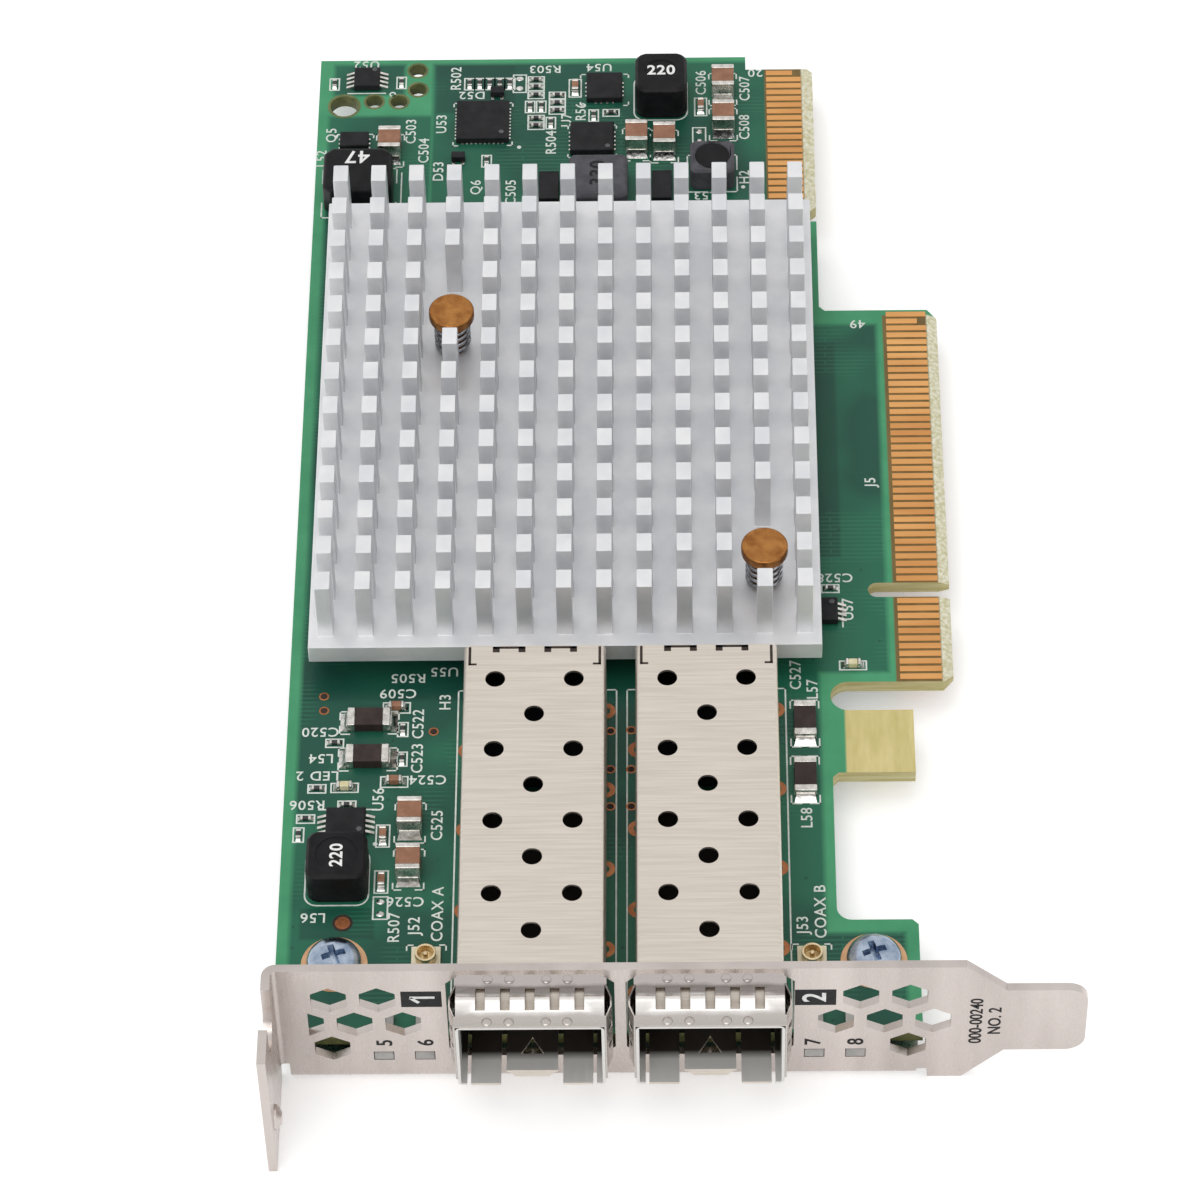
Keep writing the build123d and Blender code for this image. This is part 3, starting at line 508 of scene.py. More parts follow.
def round_holes(piece, centres, diameter):
    """Divides the flat-sided rims of upright holes and sets the new points on the true circle."""
    radius = diameter / 2 * mm

    def on_rim(point):
        return any(abs((point.xy - centre.xy).length - radius) < 0.02 * radius for centre in centres)

    pick_edges(piece, lambda start, end: abs(start.z - end.z) < 0.01 * mm and on_rim(start) and on_rim(end)
               and (start - end).length < radius)
    bpy.ops.mesh.subdivide(number_cuts=3)
    object_mode()
    for vertex in piece.data.vertices:
        for centre in centres:
            away = vertex.co.xy - centre.xy
            if 0.9 * radius < away.length < 1.02 * radius:
                vertex.co.xy = centre.xy + away.normalized() * radius


def block(width, depth, height, level=0.0):
    """A box on z = level, in millimetres, as the start of a small part."""
    deselect()
    bpy.ops.mesh.primitive_cube_add(size=1, location=(0, 0, (level + height / 2) * mm))
    made = current()
    made.scale = (width * mm, depth * mm, height * mm)
    settle()
    return made


def turned(diameter, height, level=0.0, sides=40):
    """An upright cylinder on z = level, in millimetres."""
    deselect()
    bpy.ops.mesh.primitive_cylinder_add(
        vertices=sides, radius=diameter / 2 * mm, depth=height * mm,
        location=(0, 0, (level + height / 2) * mm),
    )
    settle()
    return current()


# CAD nodes that keep their own mesh and take a finish
kept_nodes = {
    "edge_contacts": "gold_plate",
    "rear_edge_contacts": "gold_plate",
    "package_leads": "tinned_metal",
    "thermal_pad": "pad_grey",
    "controller_chip": "chip_black",
    "port_1_connector": "port_black",
    "port_2_connector": "port_black",
    "bracket_standoffs": "screw_steel",
    "link_light_pipes": "pipe_clear",
}
for node, finish in kept_nodes.items():
    nodes[node].data.materials.clear()
    nodes[node].data.materials.append(finishes[finish])

# CAD nodes shown with softened edges: nodes, finish, edge width, edge segments
softened_rows = [
    (["heat_sink"], "bare_aluminium", 0.12, 2),
    (["bracket"], "bracket_nickel", 0.1, 2),
    (["port_1_spring_collar", "port_2_spring_collar"], "spring_sheet", 0.05, 2),
    (["monitor_chip", "regulator_chip", "power_stage_chip", "switching_transistor"], "chip_black", 0.06, 2),
    (["memory_chip", "converter_chip", "bus_chip"], "chip_black", 0.06, 2),
    (["power_diodes"], "chip_black", 0.1, 2),
    (["ceramic_capacitors"], "capacitor_tan", 0.04, 2),
    (["ferrite_beads"], "bead_grey", 0.05, 2),
    (["chip_resistors"], "resistor_black", 0.03, 2),
    (["chip_end_caps"], "tinned_metal", 0.12, 3),
    (["status_lamps"], "lamp_clear", 0.08, 3),
    (["rear_inductor", "front_inductor"], "inductor_black", 0.3, 4),
    (["left_inductor"], "inductor_black", 0.2, 3),
    (["flat_inductor"], "inductor_grey", 0.15, 3),
    (["round_inductor"], "inductor_grey", 0.12, 3),
    (["coax_jack_bases"], "jack_ivory", 0.06, 2),
]
for names, finish, width, segments in softened_rows:
    for node in names:
        softened = copy_of(node)
        soften(softened, width, segments)
        complete(softened, node + "_finish", finish, (node,))

# Port cages: brushed sheet with true round holes
cage_middles = (25.5, 42.78)
cage_rear = -3.3
cage_hole = 2.0
cage_hole_spread = 7.9
cage_hole_pitch = 8.85
cage_hole_from_rear = 4.25
cage_hole_rows = 4


def cage_holes(middle):
    holes = []
    for row in range(cage_hole_rows):
        level = cage_rear - cage_hole_from_rear - row * cage_hole_pitch
        holes.append(spot(middle - cage_hole_spread / 2, level))
        holes.append(spot(middle + cage_hole_spread / 2, level))
        holes.append(spot(middle, level - cage_hole_pitch / 2))
    return holes


cage_wall = 0.28
rear_wall = 0.2
fold_round = 0.22
fold_reach = 0.5
fold_length = 10.0
close_by = 0.02


def round_folds(cage, node):
    """Rounds the two long folds between the roof and the sides."""
    low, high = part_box(node)

    def on_fold(point):
        across = min(point.x - low.x, high.x - point.x)
        down = high.z - point.z
        return min(across, down) < close_by * mm and max(across, down) < fold_reach * mm

    pick_edges(cage, lambda start, end: on_fold(start) and on_fold(end)
               and abs(start.y - end.y) > fold_length * mm)
    bpy.ops.mesh.bevel(offset=fold_round * mm, segments=3)
    object_mode()


for number, middle in enumerate(cage_middles, start=1):
    node = f"port_{number}_cage"
    cage = copy_of(node)
    round_holes(cage, cage_holes(middle), cage_hole)
    round_folds(cage, node)
    soften(cage, 0.06, 2)
    complete(cage, node + "_finish", "cage_nickel", (node,))
    cage.data.materials.append(finishes["cage_inside_painted_shade"])
    # Faces inside the cage take the material with painted shade
    low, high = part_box(node)
    for polygon in cage.data.polygons:
        place = polygon.center
        across = min(place.x - low.x, high.x - place.x)
        upward = min(place.z - top, high.z - place.z)
        within = place.y < high.y - rear_wall * mm
        polygon.material_index = 1 if within and min(across, upward) > cage_wall * mm else 0

# Circuit board: round holes, mask on both faces, cut laminate on its edges
register_place = (2.85, 82.2)
register_hole = 3.1
test_places = [(6.2, 82.9), (9.0, 82.85), (11.0, 87.7), (11.1, 84.7)]
test_hole = 1.9
hole_reach = 0.6 * register_hole
front_edge = 0.2
flat_enough = 0.75
board = copy_of("circuit_board")
round_holes(board, [spot(*register_place)], register_hole)
round_holes(board, [spot(*place) for place in test_places], test_hole)
soften(board, 0.07, 2)
complete(board, "circuit_board_finish", "solder_mask", ("circuit_board",))
board.data.materials.append(finishes["laminate_edge"])
board.data.materials.append(finishes["hole_rim"])
drilled_spots = [spot(*place) for place in test_places + [register_place]]
for polygon in board.data.polygons:
    beside_hole = any((polygon.center.xy - hole.xy).length < hole_reach * mm for hole in drilled_spots)
    if abs(polygon.normal.z) > flat_enough:
        polygon.material_index = 0
    elif beside_hole or polygon.center.y < board_low.y + front_edge * mm:
        polygon.material_index = 2
    else:
        polygon.material_index = 1


# Screws: domed heads with a cross recess
screw_places = [(5.8, -35.6), (59.0, -35.6)]
screw_head = 5.4
screw_height = 1.9
screw_rim = 0.7
screw_shank = 2.8
screw_length = 3.9
cross_length = 3.1
cross_width = 0.85
cross_depth = 1.1
dome_steps = 4


def screw():
    made = turned(screw_head, screw_rim, sides=48)
    pick_faces(made, upper)
    radius = screw_head / 2
    rise = screw_height - screw_rim
    angles = [math.pi / 2 * step / (dome_steps + 1) for step in range(dome_steps + 1)]
    for before, after in zip(angles, angles[1:]):
        bpy.ops.mesh.inset(thickness=radius * (math.cos(before) - math.cos(after)) * mm, depth=0)
        bpy.ops.transform.translate(value=(0, 0, rise * (math.sin(after) - math.sin(before)) * mm))
    object_mode()
    pick_faces(made, under)
    bpy.ops.mesh.inset(thickness=(screw_head - screw_shank) / 2 * mm, depth=0)
    draw_out(-screw_length * mm)
    object_mode()
    for turn in (0, 90):
        cutter = block(cross_length, cross_width, cross_depth * 2, screw_height - cross_depth)
        cutter.data.transform(Matrix.Rotation(math.radians(turn), 4, "Z"))
        pick_faces(cutter, under)
        bpy.ops.transform.resize(value=(0.6, 0.6, 1))
        object_mode()
        hold(made)
        cut = made.modifiers.new("cross", "BOOLEAN")
        cut.operation = "DIFFERENCE"
        cut.object = cutter
        bpy.ops.object.modifier_apply(modifier=cut.name)
        bpy.data.objects.remove(cutter)
    soften(made, 0.07, 2, 50)
    return made


screw_turn = 18
screws = stamp(screw(), at(screw_places, screw_turn))
complete(screws, "bracket_screws_finish", "screw_steel", ("bracket_screws",))

# Push pins: turned brass with a rounded rim, shank and barb
push_pin_places = [(16.15, 41.45), (48.85, 8.75)]
pin_head = 4.8
pin_head_low = 9.6
pin_head_height = 1.2
pin_shank = 2.4
pin_barb = 3.4
pin_bevel = 0.8
pin_reach = 2.6
pin_step = 0.05


def push_pin():
    made = turned(pin_head, pin_head_height, pin_head_low, 64)
    pick_faces(made, under)
    bpy.ops.mesh.inset(thickness=(pin_head - pin_shank) / 2 * mm, depth=0)
    down = -(pin_head_low + board_thick)
    draw_out(down * mm)
    wider = pin_barb / pin_shank
    draw_out(-pin_step * mm)
    bpy.ops.transform.resize(value=(wider, wider, 1))
    straight = pin_reach - pin_bevel - pin_step
    draw_out(-straight * mm)
    draw_out(-pin_bevel * mm)
    narrower = 1 - 2 * pin_bevel / pin_barb
    bpy.ops.transform.resize(value=(narrower, narrower, 1))
    object_mode()
    soften(made, 0.22, 4, 50)
    return made


push_pins = stamp(push_pin(), at(push_pin_places))
complete(push_pins, "push_pins_finish", "pin_brass", ("push_pins",))

# Springs: round wire wound by a screw
spring_low = 5.3
spring_wire = 0.45
spring_turns = 4.5
spring_gap = 0.3
spring_start = 40


def spring():
    coil = pin_shank / 2 + spring_gap + spring_wire / 2
    rise = pin_head_low - spring_low - spring_wire
    deselect()
    bpy.ops.mesh.primitive_circle_add(
        vertices=10, radius=spring_wire / 2 * mm, fill_type="NOTHING", rotation=(math.pi / 2, 0, 0),
        location=(coil * mm, 0, (spring_low + spring_wire / 2) * mm),
    )
    made = current()
    settle()
    wind = made.modifiers.new("wind", "SCREW")
    wind.angle = 2 * math.pi * spring_turns
    wind.screw_offset = rise * mm
    wind.steps = round(28 * spring_turns)
    wind.render_steps = wind.steps
    wind.use_merge_vertices = False
    bpy.ops.object.modifier_apply(modifier=wind.name)
    edit_mode()
    bpy.ops.mesh.select_mode(type="VERT")
    bpy.ops.mesh.select_all(action="DESELECT")
    bpy.ops.mesh.select_non_manifold()
    bpy.ops.mesh.edge_face_add()
    bpy.ops.mesh.select_all(action="SELECT")
    bpy.ops.mesh.normals_make_consistent(inside=False)
    object_mode()
    bpy.ops.object.shade_smooth_by_angle(angle=math.radians(50))
    return made


springs = stamp(spring(), at(push_pin_places, spring_start))
complete(springs, "push_pin_springs_finish", "spring_steel", ("push_pin_springs",))

# Coaxial jacks: round shell with a rolled rim, and a centre pin
jack_places = [(14.85, -35.3), (52.9, -35.5)]
jack_base_height = 0.5
jack_ring = 2.1
jack_bore = 1.6
jack_height = 1.1
jack_pin = 0.5
jack_floor = 0.1


def jack():
    shell = turned(jack_ring, jack_height, jack_base_height)
    pick_faces(shell, upper)
    bpy.ops.mesh.inset(thickness=(jack_ring - jack_bore) / 2 * mm, depth=0)
    draw_out(-(jack_height - jack_floor) * mm)
    object_mode()
    soften(shell, 0.07, 3)
    pin = turned(jack_pin, jack_height - jack_floor, jack_base_height, 20)
    soften(pin, 0.1, 3)
    return joined([shell, pin])


jacks = stamp(jack(), at(jack_places))
complete(jacks, "coax_jacks_finish", "jack_gold", ("coax_jacks",))

# Chip parts: places repeat those of the solids
large_capacitors = [
    (35.7, 75.85, along_y), (38.8, 75.5, along_y), (45.4, 84.3, along_y), (45.4, 78.8, along_y),
    (8.2, 75.2, along_y), (12.85, -18.3, along_y), (12.85, -24.1, along_y),
]
ferrite_beads = [
    (8.35, -5.5, along_x), (8.35, -10.2, along_x), (52.8, -6.0, along_y), (52.7, -13.2, along_y),
]
medium_capacitors = [
    (11.1, -3.6, along_x), (11.1, -13.1, along_x), (10.15, -19.9, along_y), (10.15, -25.6, along_y),
    (28.8, 84.7, along_y), (42.9, 81.6, along_y),
]
lamps = [(6.1, -13.8, along_x), (57.9, 1.5, along_x)]
resistor_pitch = 1.13
resistor_row = [(16.9 + step * resistor_pitch, 85.5, along_y) for step in range(5)]
resistors = [
    (24.4, 86.05, along_x), (24.4, 84.9, along_x), (24.4, 83.65, along_x), (24.45, 80.0, along_x),
    (24.45, 78.85, along_x), (26.8, 83.6, along_x), (26.8, 82.4, along_x), (26.8, 81.2, along_x),
    (23.75, 81.85, along_y), (25.0, 81.85, along_y), (26.1, 79.3, along_y), (3.3, -13.9, along_x),
    (6.4, -16.0, along_x), (2.3, -17.7, along_x), (1.65, -19.7, along_y), (11.8, -6.4, along_y),
    (11.8, -10.2, along_y), (4.9, -8.1, along_x), (1.65, 85.65, along_y), (9.2, 85.8, along_y),
    (55.8, 11.7, along_x), (32.85, 80.8, along_x), (30.9, 80.4, along_y), (19.0, 73.5, along_y),
]
empty_pads = [(10.15, -28.8, along_y), (22.55, 85.5, along_y), (42.7, 77.0, along_y)]
monitor_place = (18.5, 79.2)
regulator_place = (32.1, 84.4)
power_stage_place = (30.75, 76.4)
switch_place = (4.2, 76.3)
round_inductor_place = (44.1, 71.3)
large_size = (3.2, 2.5, 2.5)
bead_size = (4.4, 2.3, 1.2)
medium_size = (1.6, 0.8, 0.8)
small_size = (1.0, 0.5, 0.35)


def ends_of(places, length):
    """Both end points of each part, with the turn that points outwards."""
    ends = []
    for x, y, turn in places:
        for side in (0, 180):
            outward = math.radians(turn + side)
            ends.append((x + length / 2 * math.cos(outward), y + length / 2 * math.sin(outward), turn + side))
    return ends


# Resistors' metal ends
resistor_end = 0.24
resistor_span = small_size[0] - resistor_end + 0.03
end_master = block(resistor_end, small_size[1] + 0.02, small_size[2] + 0.02)
soften(end_master, 0.05, 2)
resistor_ends = stamp(end_master, [
    (spot(x, y), turn, (1, 1, 1)) for x, y, turn in ends_of(resistor_row + resistors, resistor_span)
])
complete(resistor_ends, "resistor_ends", "tinned_metal")


# Solder fillets: a ramp with a hollow slope against each end
def fillet_master():
    made = block(1000, 1000, 350)
    made.data.transform(Matrix.Translation((0.5, 0, 0)))
    pick_faces(made, upper)
    bpy.ops.transform.resize(value=(0.5, 0.9, 1), center_override=(0, 0, 0))
    draw_out(0.65)
    bpy.ops.transform.resize(value=(0.25, 0.9, 1), center_override=(0, 0, 0))
    object_mode()
    bpy.ops.object.shade_smooth_by_angle(angle=math.radians(60))
    return made


fillet_rows = [
    (large_capacitors, large_size, 0.55, 0.9), (ferrite_beads, bead_size, 0.75, 0.7),
    (medium_capacitors + lamps, medium_size, 0.35, 0.4), (resistor_row + resistors, small_size, 0.3, 0.26),
]
fillets = stamp(fillet_master(), [
    (spot(x, y), turn, (reach * mm, size[1] * mm, height * mm))
    for places, size, reach, height in fillet_rows
    for x, y, turn in ends_of(places, size[0])
])
complete(fillets, "solder_fillets", "solder")


def dome(radius, height):
    """A flat bump centred on z = 0, in millimetres."""
    deselect()
    bpy.ops.mesh.primitive_uv_sphere_add(segments=24, ring_count=12, radius=1)
    made = current()
    made.scale = (radius * mm, radius * mm, height * mm)
    settle()
    bpy.ops.object.shade_smooth()
    return made


# Solder pads left empty, each with a bump of solder
soldered_pads = stamp(dome(0.36, 0.16), [
    (spot(x, y), turn, (1, 1.2, 1)) for x, y, turn in ends_of(empty_pads, 1.5)
])
complete(soldered_pads, "empty_pads", "solder")


def plate(width, depth, place=(0, 0, 0), turn=(0, 0, 0)):
    """A sheet without thickness, its sides in millimetres."""
    deselect()
    bpy.ops.mesh.primitive_plane_add(size=1, location=place, rotation=turn)
    made = current()
    made.scale = (width * mm, depth * mm, 1)
    settle()
    return made


# Silk print: frames round small parts and lines along the larger ones
def flat_sheet(areas, level=0.001):
    return joined([
        plate(high_x - low_x, high_y - low_y, spot((low_x + high_x) / 2, (low_y + high_y) / 2, level))
        for low_x, low_y, high_x, high_y in areas
    ])


def thicken(piece, thickness):
    hold(piece)
    solid = piece.modifiers.new("thickness", "SOLIDIFY")
    solid.thickness = thickness * mm
    solid.offset = 1
    bpy.ops.object.modifier_apply(modifier=solid.name)


def around(places, length, width):
    areas = []
    for x, y, turn in places:
        half_x, half_y = (length / 2, width / 2) if turn == along_x else (width / 2, length / 2)
        areas.append((x - half_x, y - half_y, x + half_x, y + half_y))
    return areas


def silk_outline(areas, name, corner=0.0):
    """A line along the inside of each area, with round corners where asked."""
    outline = flat_sheet(areas)
    open_whole(outline)
    if corner:
        bpy.ops.mesh.bevel(offset=corner * mm, segments=6, affect="VERTICES")
        bpy.ops.mesh.select_all(action="SELECT")
    bpy.ops.mesh.inset(thickness=silk_line * mm, depth=0, use_individual=True)
    bpy.ops.mesh.delete(type="FACE")
    object_mode()
    thicken(outline, ink)
    complete(outline, name, "silk_white")


framed = (
    around(resistor_row, 1.95, resistor_pitch + silk_line) + around(resistors, 1.95, 1.2)
    + around(medium_capacitors, 2.9, 1.5) + around(lamps, 2.9, 1.3) + around(empty_pads, 2.9, 1.6)
)
silk_outline(framed, "silk_frames")


def stroke(start_x, start_y, end_x, end_y):
    half = silk_line / 2
    low_x, high_x = sorted((start_x, end_x))
    low_y, high_y = sorted((start_y, end_y))
    return (low_x - half, low_y - half, high_x + half, high_y + half)


def corner_marks(x, y, width, depth, arm):
    marks = []
    for side_x in (-1, 1):
        for side_y in (-1, 1):
            corner_x = x + side_x * width / 2
            corner_y = y + side_y * depth / 2
            marks.append(stroke(corner_x, corner_y, corner_x - side_x * arm, corner_y))
            marks.append(stroke(corner_x, corner_y, corner_x, corner_y - side_y * arm))
    return marks


silk_strokes = []
for x, y, turn in large_capacitors:
    silk_strokes += corner_marks(x, y, 3.1, 5.0, 0.8)
for x, y, turn in ferrite_beads:
    silk_strokes += corner_marks(x, y, *((6.0, 2.9) if turn == along_x else (2.9, 6.0)), 1.0)
for (x, y), width, depth, arm in (
    (monitor_place, 6.6, 6.6, 0.5), (regulator_place, 5.4, 4.9, 0.5), (power_stage_place, 5.4, 5.0, 0.5),
    (switch_place, 4.2, 3.0, 0.5), ((4.95, 68.8), 8.2, 7.4, 2.2), (round_inductor_place, 5.5, 5.6, 2.2),
):
    silk_strokes += corner_marks(x, y, width, depth, arm)
for x, y in jack_places:
    silk_strokes += corner_marks(x, y, 3.9, 3.9, 0.6)
silk_strokes += [
    stroke(3.2, 84.2, 7.4, 84.2), stroke(3.6, -16.55, 9.4, -16.55), stroke(57.0, 6.6, 57.0, 10.0),
    stroke(2.9, 69.0, 2.9, 71.0), stroke(9.6, 65.6, 9.6, 71.8), stroke(27.6, 65.4, 27.6, 72.0),
]
cage_outline = 8.1
outline_rear = -1.45
for middle in cage_middles:
    for side in (-1, 1):
        edge = middle + side * cage_outline
        silk_strokes.append(stroke(edge, -43.6, edge, outline_rear))
        silk_strokes.append(stroke(edge, outline_rear, edge - side * 0.9, outline_rear))
lines = flat_sheet(silk_strokes)
thicken(lines, ink)
complete(lines, "silk_lines", "silk_white")

# Rounded outlines round the two moulded inductors
silk_outline([(35.35, 79.54, 41.47, 86.5), (2.47, -28.53, 9.0, -21.5)], "silk_outlines", 1.3)


# Printed designators, of plain letters and numbers
silk_spacing = 1.08


def letters(entries, size, weight, steps, spacing, place):
    """Joined labels; place gives the matrix that each stands on."""
    labels = []
    for body, first, second, turn in entries:
        deselect()
        bpy.ops.object.text_add()
        label = current()
        label.data.body = body
        label.data.size = size * mm
        label.data.align_x = "CENTER"
        label.data.align_y = "CENTER"
        label.data.resolution_u = steps
        label.data.offset = weight * mm
        label.data.extrude = ink / 2 * mm
        label.data.space_character = spacing
        bpy.ops.object.convert(target="MESH")
        label.data.transform(place(first, second) @ Matrix.Rotation(math.radians(turn), 4, "Z"))
        labels.append(label)
    piece = joined(labels)
    open_whole(piece)
    bpy.ops.mesh.remove_doubles(threshold=0.0001 * mm)
    object_mode()
    return piece


def lettering(entries, name, size, weight, level, finish):
    def place(x, y):
        return Matrix.Translation(spot(x, y, level + ink / 2))

    complete(letters(entries, size, weight, 3, silk_spacing, place), name, finish)


upside = 180
sideways = 90
turned_designators = {
    upside: [
        ("U52", 5.2, 88.75), ("D52", 17.2, 83.8), ("R503", 25.4, 87.8), ("U54", 31.5, 88.0),
        ("L53", 43.3, 68.0), ("R505", 12.2, 0.3), ("U55", 15.9, 1.1), ("C509", 11.2, -1.7),
        ("C520", 3.4, -6.6), ("L54", 3.6, -10.0), ("LED 2", 3.3, -12.2), ("C524", 14.5, -12.8),
        ("R506", 2.4, -15.9), ("C526", 12.6, -28.0), ("L56", 3.5, -29.9), ("C528", 56.3, 13.2),
    ],
    sideways: [
        ("R502", 15.4, 86.4), ("U53", 13.9, 79.3), ("Q5", 1.6, 77.7), ("C503", 10.5, 78.2),
        ("C504", 12.0, 75.2), ("D53", 13.7, 72.0), ("Q6", 17.9, 69.5), ("C505", 21.8, 68.7),
        ("R504", 26.2, 76.3), ("L52", 0.6, 74.1), ("C506", 43.0, 85.4), ("C507", 47.9, 84.4),
        ("C508", 47.8, 78.4), ("R56", 29.5, 81.0), ("U7", 27.9, 79.7), ("H2", 47.7, 70.7),
        ("C522", 13.4, -5.7), ("H3", 16.1, -2.9), ("C523", 13.4, -10.1), ("U56", 9.6, -15.3),
        ("C525", 15.6, -18.6), ("R507", 11.6, -31.2), ("J52", 13.6, -31.0), ("COAX A", 15.9, -29.6),
        ("C527", 52.0, 0.3), ("L57", 53.7, -1.6), ("L58", 52.8, -18.0), ("J53", 52.1, -31.2),
        ("COAX B", 53.9, -29.6), ("U57", 57.6, 8.9), ("J5", 60.4, 26.2),
    ],
}
designators = [(*label, turn) for turn, labels in turned_designators.items() for label in labels]
silk_letter = 1.65
silk_weight = 0.015
lettering(designators, "silk_designators", silk_letter, silk_weight, 0.0, "silk_white")
contact_numbers = [("49", 59.6, 48.7, upside), ("20", 49.1, 86.9, upside)]
lettering(contact_numbers, "silk_contact_numbers", silk_letter, silk_weight, 0.0, "silk_white")
lettering([("220", 38.5, 83.2, 0)], "rear_inductor_mark", 2.0, 0.05, 4.26, "mark_white")
lettering(
    [("220", 5.9, -25.2, sideways)], "front_inductor_mark", 1.8, 0.04, 4.06, "mark_white",
)
lettering([("47", 4.9, 70.6, upside)], "left_inductor_mark", 2.6, 0.04, 4.0, "mark_white")
lettering(
    [("330", 31.5, 68.7, sideways)], "flat_inductor_mark", 2.4, 0.05, 3.0, "mark_black",
)


# Flat rings and discs: copper, hole rims, silk, and dark discs as painted shade in the via bores; inner 0 is
# a disc
def ring_master(outer, inner):
    deselect()
    bpy.ops.mesh.primitive_circle_add(
        vertices=40, radius=outer * mm, fill_type="NGON", location=(0, 0, 0.002 * mm),
    )
    made = current()
    settle()
    if inner:
        open_whole(made)
        bpy.ops.mesh.inset(thickness=(outer - inner) * mm, depth=0)
        bpy.ops.mesh.delete(type="FACE")
        object_mode()
    thicken(made, 0.02)
    return made


via_places = [
    (3.6, -2.05), (3.67, -3.9), (14.95, -6.7), (33.0, -6.8), (33.0, -11.7), (33.0, -16.4), (35.1, -6.7),
    (35.1, -11.7), (35.1, -16.4),
]
via_bore = 0.36
fiducial_place = (6.45, -30.6)
fiducial_radius = 0.75
ring_rows = [
    ("screw_rings", 3.3, 1.66, screw_places, "gold_plate", "pad_copper"),
    ("via_rings", 0.52, via_bore, via_places, "gold_plate", "bare_copper"),
    ("via_hole_shade", via_bore, 0, via_places, "solder_mask", "dark_ring_and_painted_shade"),
    ("fiducial", fiducial_radius, 0, [fiducial_place], "gold_plate", "bare_copper"),
    ("fiducial_ring", 1.02, fiducial_radius, [fiducial_place], "solder_mask", "dark_ring_and_painted_shade"),
    ("hole_rims", 1.2, 0.97, test_places, "solder_mask", "hole_rim"),
    ("register_rim", 1.85, 1.57, [register_place], "solder_mask", "hole_rim"),
    ("pin_one_ring", 0.38, 0.22, [(8.25, 84.0)], "solder_mask", "silk_white"),
]
for name, outer, inner, places, slot, finish in ring_rows:
    complete(stamp(ring_master(outer, inner), at(places)), name, finish)

# Painted shade of the slots at the cages' rear edges, where the folded sheets hook into each other: dark
# sheets laid on the roof
roof_level = 9.702
slot_width = 0.7
slot_rear = -3.4
hook_front = -5.8
slot_shifts = (-3.9, -1.3, 1.3, 3.9)
hook_side = 6.55
rear_slot_shade_areas = []
for middle in cage_middles:
    for shift in slot_shifts:
        centre = middle + shift
        rear_slot_shade_areas.append((centre - slot_width / 2, -4.15, centre + slot_width / 2, slot_rear))
    for side in (-1, 1):
        seam = middle + side * 2.6
        rear_slot_shade_areas.append((seam - 1.6, -3.7, seam + 1.6, slot_rear))
        hook = middle + side * hook_side
        rear_slot_shade_areas.append((hook - 0.14, hook_front, hook + 0.14, -3.45))
        inner = middle + side * (hook_side - 0.3)
        rear_slot_shade_areas.append((inner - 0.4, hook_front, inner + 0.4, -5.55))
slot_shade = flat_sheet(rear_slot_shade_areas, roof_level)
thicken(slot_shade, 0.004)
complete(slot_shade, "cage_rear_slot_shade", "dark_ring_and_painted_shade")

# Dark winding in the dish of the round inductor
winding_level = 2.852
winding = stamp(ring_master(1.9, 0), at([round_inductor_place], level=winding_level))
complete(winding, "round_inductor_winding", "inductor_black")


# Pads along the edges of the chips without leads
def pads_round(place, width, depth, count_x, count_y, pitch):
    x, y = place
    places = []
    for side in (-1, 1):
        for step in range(count_x):
            shift = (step - (count_x - 1) / 2) * pitch
            places.append((spot(x + shift, y + side * depth / 2), 90, (1, 1, 1)))
        for step in range(count_y):
            shift = (step - (count_y - 1) / 2) * pitch
            places.append((spot(x + side * width / 2, y + shift), 0, (1, 1, 1)))
    return places


pad_size = (0.36, 0.24, 0.12)
pad_block = block(*pad_size)
soften(pad_block, 0.03, 2)
chip_pads = stamp(
    pad_block,
    pads_round(monitor_place, 5.9, 5.9, 10, 10, 0.5) + pads_round(regulator_place, 4.0, 4.0, 4, 4, 0.65)
    + pads_round(power_stage_place, 4.9, 4.4, 6, 5, 0.65) + pads_round(switch_place, 3.2, 2.2, 0, 3, 0.65),
)
complete(chip_pads, "chip_pads", "tinned_metal")

# Pin-one dots on the chips and beside them
low_dots = at([(20.6, 77.2)], level=0.9)
high_dots = at([(6.2, 87.0), (55.9, 9.2), (7.8, -19.7), (32.5, 74.8)], level=1.0)
complete(stamp(ring_master(0.28, 0), low_dots + high_dots), "chip_dots", "mark_grey")
silk_dots = stamp(ring_master(0.24, 0), at([(22.6, 75.6), (47.5, 69.2), (9.4, -20.9)]))
complete(silk_dots, "silk_dots", "silk_white")

# Small three-legged transistors
transistor_places = [(20.05, 83.85), (15.85, 73.8)]
transistor_size = (1.5, 0.95, 0.75)
transistor_lift = 0.1
leg_size = (0.36, 0.5, 0.16)
transistor = block(*transistor_size, transistor_lift)
soften(transistor, 0.08, 2)
transistors = stamp(transistor, at(transistor_places))
complete(transistors, "small_transistors", "chip_black")
leg = block(*leg_size)
soften(leg, 0.05, 2)
leg_shifts = ((-0.5, -0.66), (0.5, -0.66), (0, 0.66))
legs = stamp(leg, at([(x + east, y + north) for x, y in transistor_places for east, north in leg_shifts]))
complete(legs, "transistor_legs", "tinned_metal")

# Spot welds on the flat bands of the spring collars
weld_shifts = (-4.1, -2.0, 1.55, 3.6)
weld_levels = (-44.5, -49.45)
collar_top = 9.9
weld_places = [
    (middle + shift, level) for middle in cage_middles for shift in weld_shifts for level in weld_levels
]
welds = stamp(dome(0.5, 0.2), at(weld_places, level=collar_top))
complete(welds, "collar_welds", "spring_sheet")

